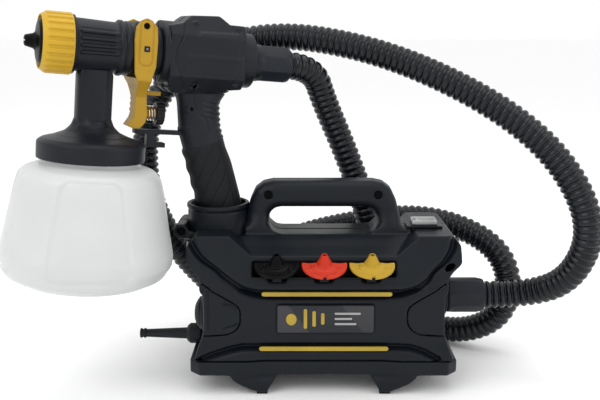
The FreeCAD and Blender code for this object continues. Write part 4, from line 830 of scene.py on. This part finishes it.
def shell_bend(p):
    """Plugged screw wells, seams, raised side panels, fins, ribs on the back and a nearer rear end."""
    x, y, z = p.T
    depth, sign = np.abs(y), np.sign(y)
    for at_x, at_z in SCREWS:
        r = np.hypot(x - at_x, z - at_z)
        rim = (r > WELL_RADIUS) & (r < WELL_RIM) & (depth > 11)
        well = (r < WELL_RADIUS) & (depth > 4)
        if rim.sum() > 8 and well.any():
            spots = np.stack([x[rim], z[rim], np.ones(rim.sum())], axis=1)
            plane = np.linalg.lstsq(spots, depth[rim], rcond=None)[0]
            flush = np.maximum(plane[0] * x + plane[1] * z + plane[2], np.median(depth[rim]))
            depth = np.where(well, flush, depth)
            x = np.where(well & (r < WELL_CORE), at_x, x)
            z = np.where(well & (r < WELL_CORE), at_z, z)
    outside = smooth(12, 20, depth)
    seam = 1.5 * np.exp(-(line_distance(x, z, SHELL_LINE) / 0.9) ** 2)
    raised = 1.1 * smooth(-1.2, 1.2, inside(x, z, UPPER_PANEL))
    shelf = 0.9 * smooth(31, 36, x) * (1 - smooth(94, 97, x)) * smooth(-10.5, -8.0, -np.abs(z + 8.6) - 1)
    low_seam = 1.1 * np.exp(-(line_distance(x, z, GRIP_SEAM) / 0.9) ** 2) * smooth(8, 12, depth)
    fins = 0.8 * smooth(0.2, 0.9, np.sin((z + x * 0.12) * 2 * math.pi / 4.6))
    fins = fins * smooth(57, 60, x) * smooth(10, 13, depth)
    fins = fins * smooth(-62, -59, z) * (1 - smooth(-42, -39, z))
    depth = depth + (raised + shelf - seam) * outside * (z > BARREL_BOTTOM) - low_seam - fins
    back = 55.5 + (-26 - z) * math.tan(math.radians(7)) + 12
    ribs = 0.7 * np.sin((z + 44) * 2 * math.pi / 5.2) * smooth(-78, -74, z) * (1 - smooth(-46, -42, z))
    x = x + ribs * smooth(0, 5, x - back)
    root = smooth(-50, -32, z) ** 2 * (z < -31)
    x = x + root * (7 * smooth(62, 74, x) - 3 * smooth(46, 38, x))
    x = x - REAR_SHIFT_MM * smooth(66, 98, x) * (z > BARREL_BOTTOM)
    return np.stack([x, np.where(sign == 0, 1, sign) * depth, z], axis=1)


softened("gun_left_moulded", ["gun_shell_left"], 0.75, 8, GUN, shell_bend)
softened("gun_right_moulded", ["gun_shell_right"], 0.75, 8, GUN, shell_bend)


GRIP_TOP_X, GRIP_TOP_Z = 58.4, -62.3
GRIP_LEAN_DEG = 19.3
GRIP_START, GRIP_END = 20, 98.1
GRIP_HALF_LENGTH, GRIP_HALF_WIDTH = 21.0, 16.5
GRIP_WALL = 1.1


def grip_place(forth, across, down):
    """Points of the leaning grip: forth and across it, at a distance down from its top."""
    lean = math.radians(GRIP_LEAN_DEG)
    return np.stack([GRIP_TOP_X + forth * math.cos(lean) + down * math.sin(lean), across,
                     GRIP_TOP_Z + forth * math.sin(lean) - down * math.cos(lean)], axis=1)


def grip_sleeve():
    """Rubber grip: leaf-shaped flutes on its sides, a raised strip down its back."""
    along = np.linspace(GRIP_START, GRIP_END, 140)
    around = 160
    turn = np.arange(around) * 2 * math.pi / around
    back, side = np.cos(turn), np.sin(turn)
    rows = []
    for s in along:
        flute = np.abs(((s - GRIP_START) + 26 * back) % 17 - 8.5)
        groove = np.exp(-(flute / 0.9) ** 2) * smooth(0.75, 0.35, back) * smooth(-0.95, -0.75, back)
        seam = np.exp(-((back - 0.52) / 0.035) ** 2)
        strip = smooth(0.56, 0.60, back)
        waves = 0.6 * np.sin((s - GRIP_START) * 2 * math.pi / 16) * smooth(-0.55, -0.95, back)
        tuck = 2.8 * smooth(48, 20, s) * smooth(0, 0.6, back)
        relief = 0.5 * strip - 0.8 * groove - 0.9 * seam
        ends = 1 - 0.08 * (np.exp(-(s - GRIP_START) / 1.2) + np.exp(-(GRIP_END - s) / 1.2))
        forth = (GRIP_HALF_LENGTH + relief + waves - tuck) * ends * np.sign(back) * np.abs(back) ** 0.86
        across = (GRIP_HALF_WIDTH + relief) * ends * np.sign(side) * np.abs(side) ** 0.92
        rows.append(grip_place(forth, across, s))
    inner = [grip_place((GRIP_HALF_LENGTH - GRIP_WALL) * back, (GRIP_HALF_WIDTH - GRIP_WALL) * side, s)
             for s in (GRIP_END, GRIP_START)]
    faces = grid_faces(len(along) + 2, around, True)
    piece("grip_sleeve_fluted", np.concatenate(rows + inner), faces, GUN, ["grip_cover"])


grip_sleeve()
softened("trigger_guard_soft", ["trigger_guard"], 0.45, 5, GUN)


STADIUM = rounded([(-6.3, -13.7), (5.5, -13.7), (5.5, 25.5), (-6.3, 25.5)], 5.6, 6)
LEVER_SLIMMING = 0.28


def trigger_bend(p):
    """A sunken stadium with a groove round it on both ears, and a narrower lever."""
    x, y, z = p.T
    edge = inside(x, z, STADIUM)
    dent = (1.3 * np.exp(-(edge / 0.8) ** 2) + 0.3 * smooth(0, 1, edge)) * (np.abs(y) > 23.5)
    slim = 1 - LEVER_SLIMMING * smooth(-24, -42, z)
    return np.stack([x, (y - np.sign(y) * dent) * slim, z], axis=1)


softened("trigger_moulded", ["trigger"], 0.42, 5, GUN, trigger_bend, after=1)
softened("flow_knob_soft", ["flow_knob"], 0.2, 2, GUN)
SOCKET = [(-2.4, -1.4), (2.4, -1.4), (2.4, 3.4), (-2.4, 3.4)]
SCREW_FACE = [(x * 0.4, 1 + (z - 1) * 0.4) for x, z in SOCKET]
for side, which in ((-1, "near"), (1, "far")):
    # A near-black plate on each ear stands for the shaded recess round the cross screw: its black is
    # painted shade, with the steel screw face set in it.
    plate(f"cross_screw_recess_painted_shade_{which}", rounded(SOCKET, 0.6), 26.2 * side, 25.4 * side, GUN, 0.1,
          body="trigger", slot="tray")
    plate(f"cross_screw_face_{which}", rounded(SCREW_FACE, 0.3), 26.35 * side, 25.4 * side, GUN, 0.1,
          body="trigger", slot="screw_steel")


# ---------------------------------------------------------------- gun: lid and cup

CUP_X = -39
POST_RADIUS = 17


def lid_bend(p):
    """The post's section is a slim oval with rounded corners, and a thin arc stands on its side."""
    x, y, z = p.T
    cx = x - CUP_X
    post = np.hypot(cx, y) < 30
    slim = smooth(-82, -64, z) * post
    u, v = np.abs(cx) / POST_RADIUS, np.abs(y) / POST_RADIUS
    square = np.maximum(u, v) / np.maximum((u ** 3 + v ** 3) ** (1 / 3), 0.01)
    round_off = 1 - (1 - square) * smooth(-74, -66, z) * post
    cx = cx * (1 - 0.07 * slim) * round_off
    y = y * (1 - 0.22 * slim) * round_off
    arc = np.exp(-((np.hypot(cx, z + 44) - 12) / 0.45) ** 2) * (z > -38) * (np.abs(y) > 10.5)
    return np.stack([cx + CUP_X, y + np.sign(y) * 0.8 * arc, z], axis=1)


softened("cup_lid_moulded", ["cup_lid"], 0.8, 9, GUN, lid_bend)

ARC_RADIUS = 62
WIDE_PANEL = [(-40, -112), (21, -112), (26, -118), (30, -196), (26, -203), (-40, -203)]
NARROW_PANEL = [(-22, -112), (14, -112), (18, -118), (22, -196), (18, -203), (-22, -203)]
PANEL_DEPTH_MM = 2.16
SHORTENED_BELOW, SHORTENING = -150, 0.88


def cup_bend(p):
    """Four sunken panels with rounded corners round the cup, and a shorter lower part."""
    x, y, z = p.T
    r = np.hypot(x, y)
    turn = np.abs(np.arctan2(y, x))
    wide = inside(np.abs(turn - math.radians(100)) * ARC_RADIUS, z, WIDE_PANEL)
    rear = inside(turn * ARC_RADIUS, z, NARROW_PANEL)
    front = inside(np.abs(np.pi - turn) * ARC_RADIUS, z, NARROW_PANEL)
    sunk = smooth(-1.4, 1.4, wide) + smooth(-1.6, 1.6, rear) + smooth(-1.6, 1.6, front)
    sunk = np.clip(sunk, 0, 1) * (r > 40) * (z > -206)
    scale = 1 - PANEL_DEPTH_MM * sunk / np.maximum(r, 1)
    z = np.where(z < SHORTENED_BELOW, SHORTENED_BELOW + (z - SHORTENED_BELOW) * SHORTENING, z)
    return np.stack([x * scale, y * scale, z], axis=1)


long_lathe("cup_blown", [(40.8, -88.8), (43, -88.8), (43, -103), (47, -104.6), (57, -108), (63, -114),
                         (66.5, -126), (78.3, -188), (77.6, -198), (71, -211), (56, -220), (30, -222),
                         (0, -222), (0, -219.6), (30, -219.6), (54, -217.8), (68.6, -209.4), (75, -197.4),
                         (75.9, -188.5), (64, -126.2), (60.7, -115.4), (55.8, -110.2), (46, -106.8),
                         (40.8, -105)],
           3.0, 2.0, "Z", GUN, ["cup"], around=240, bend=cup_bend, centre=(CUP_X, 0, 0))


# ---------------------------------------------------------------- the rest of the CAD nodes

for node, obj in frame["nodes"].items():
    if not obj.hide_render:
        obj.data.materials.clear()
        obj.data.materials.append(FINISHES[SLOT_OF[node]])
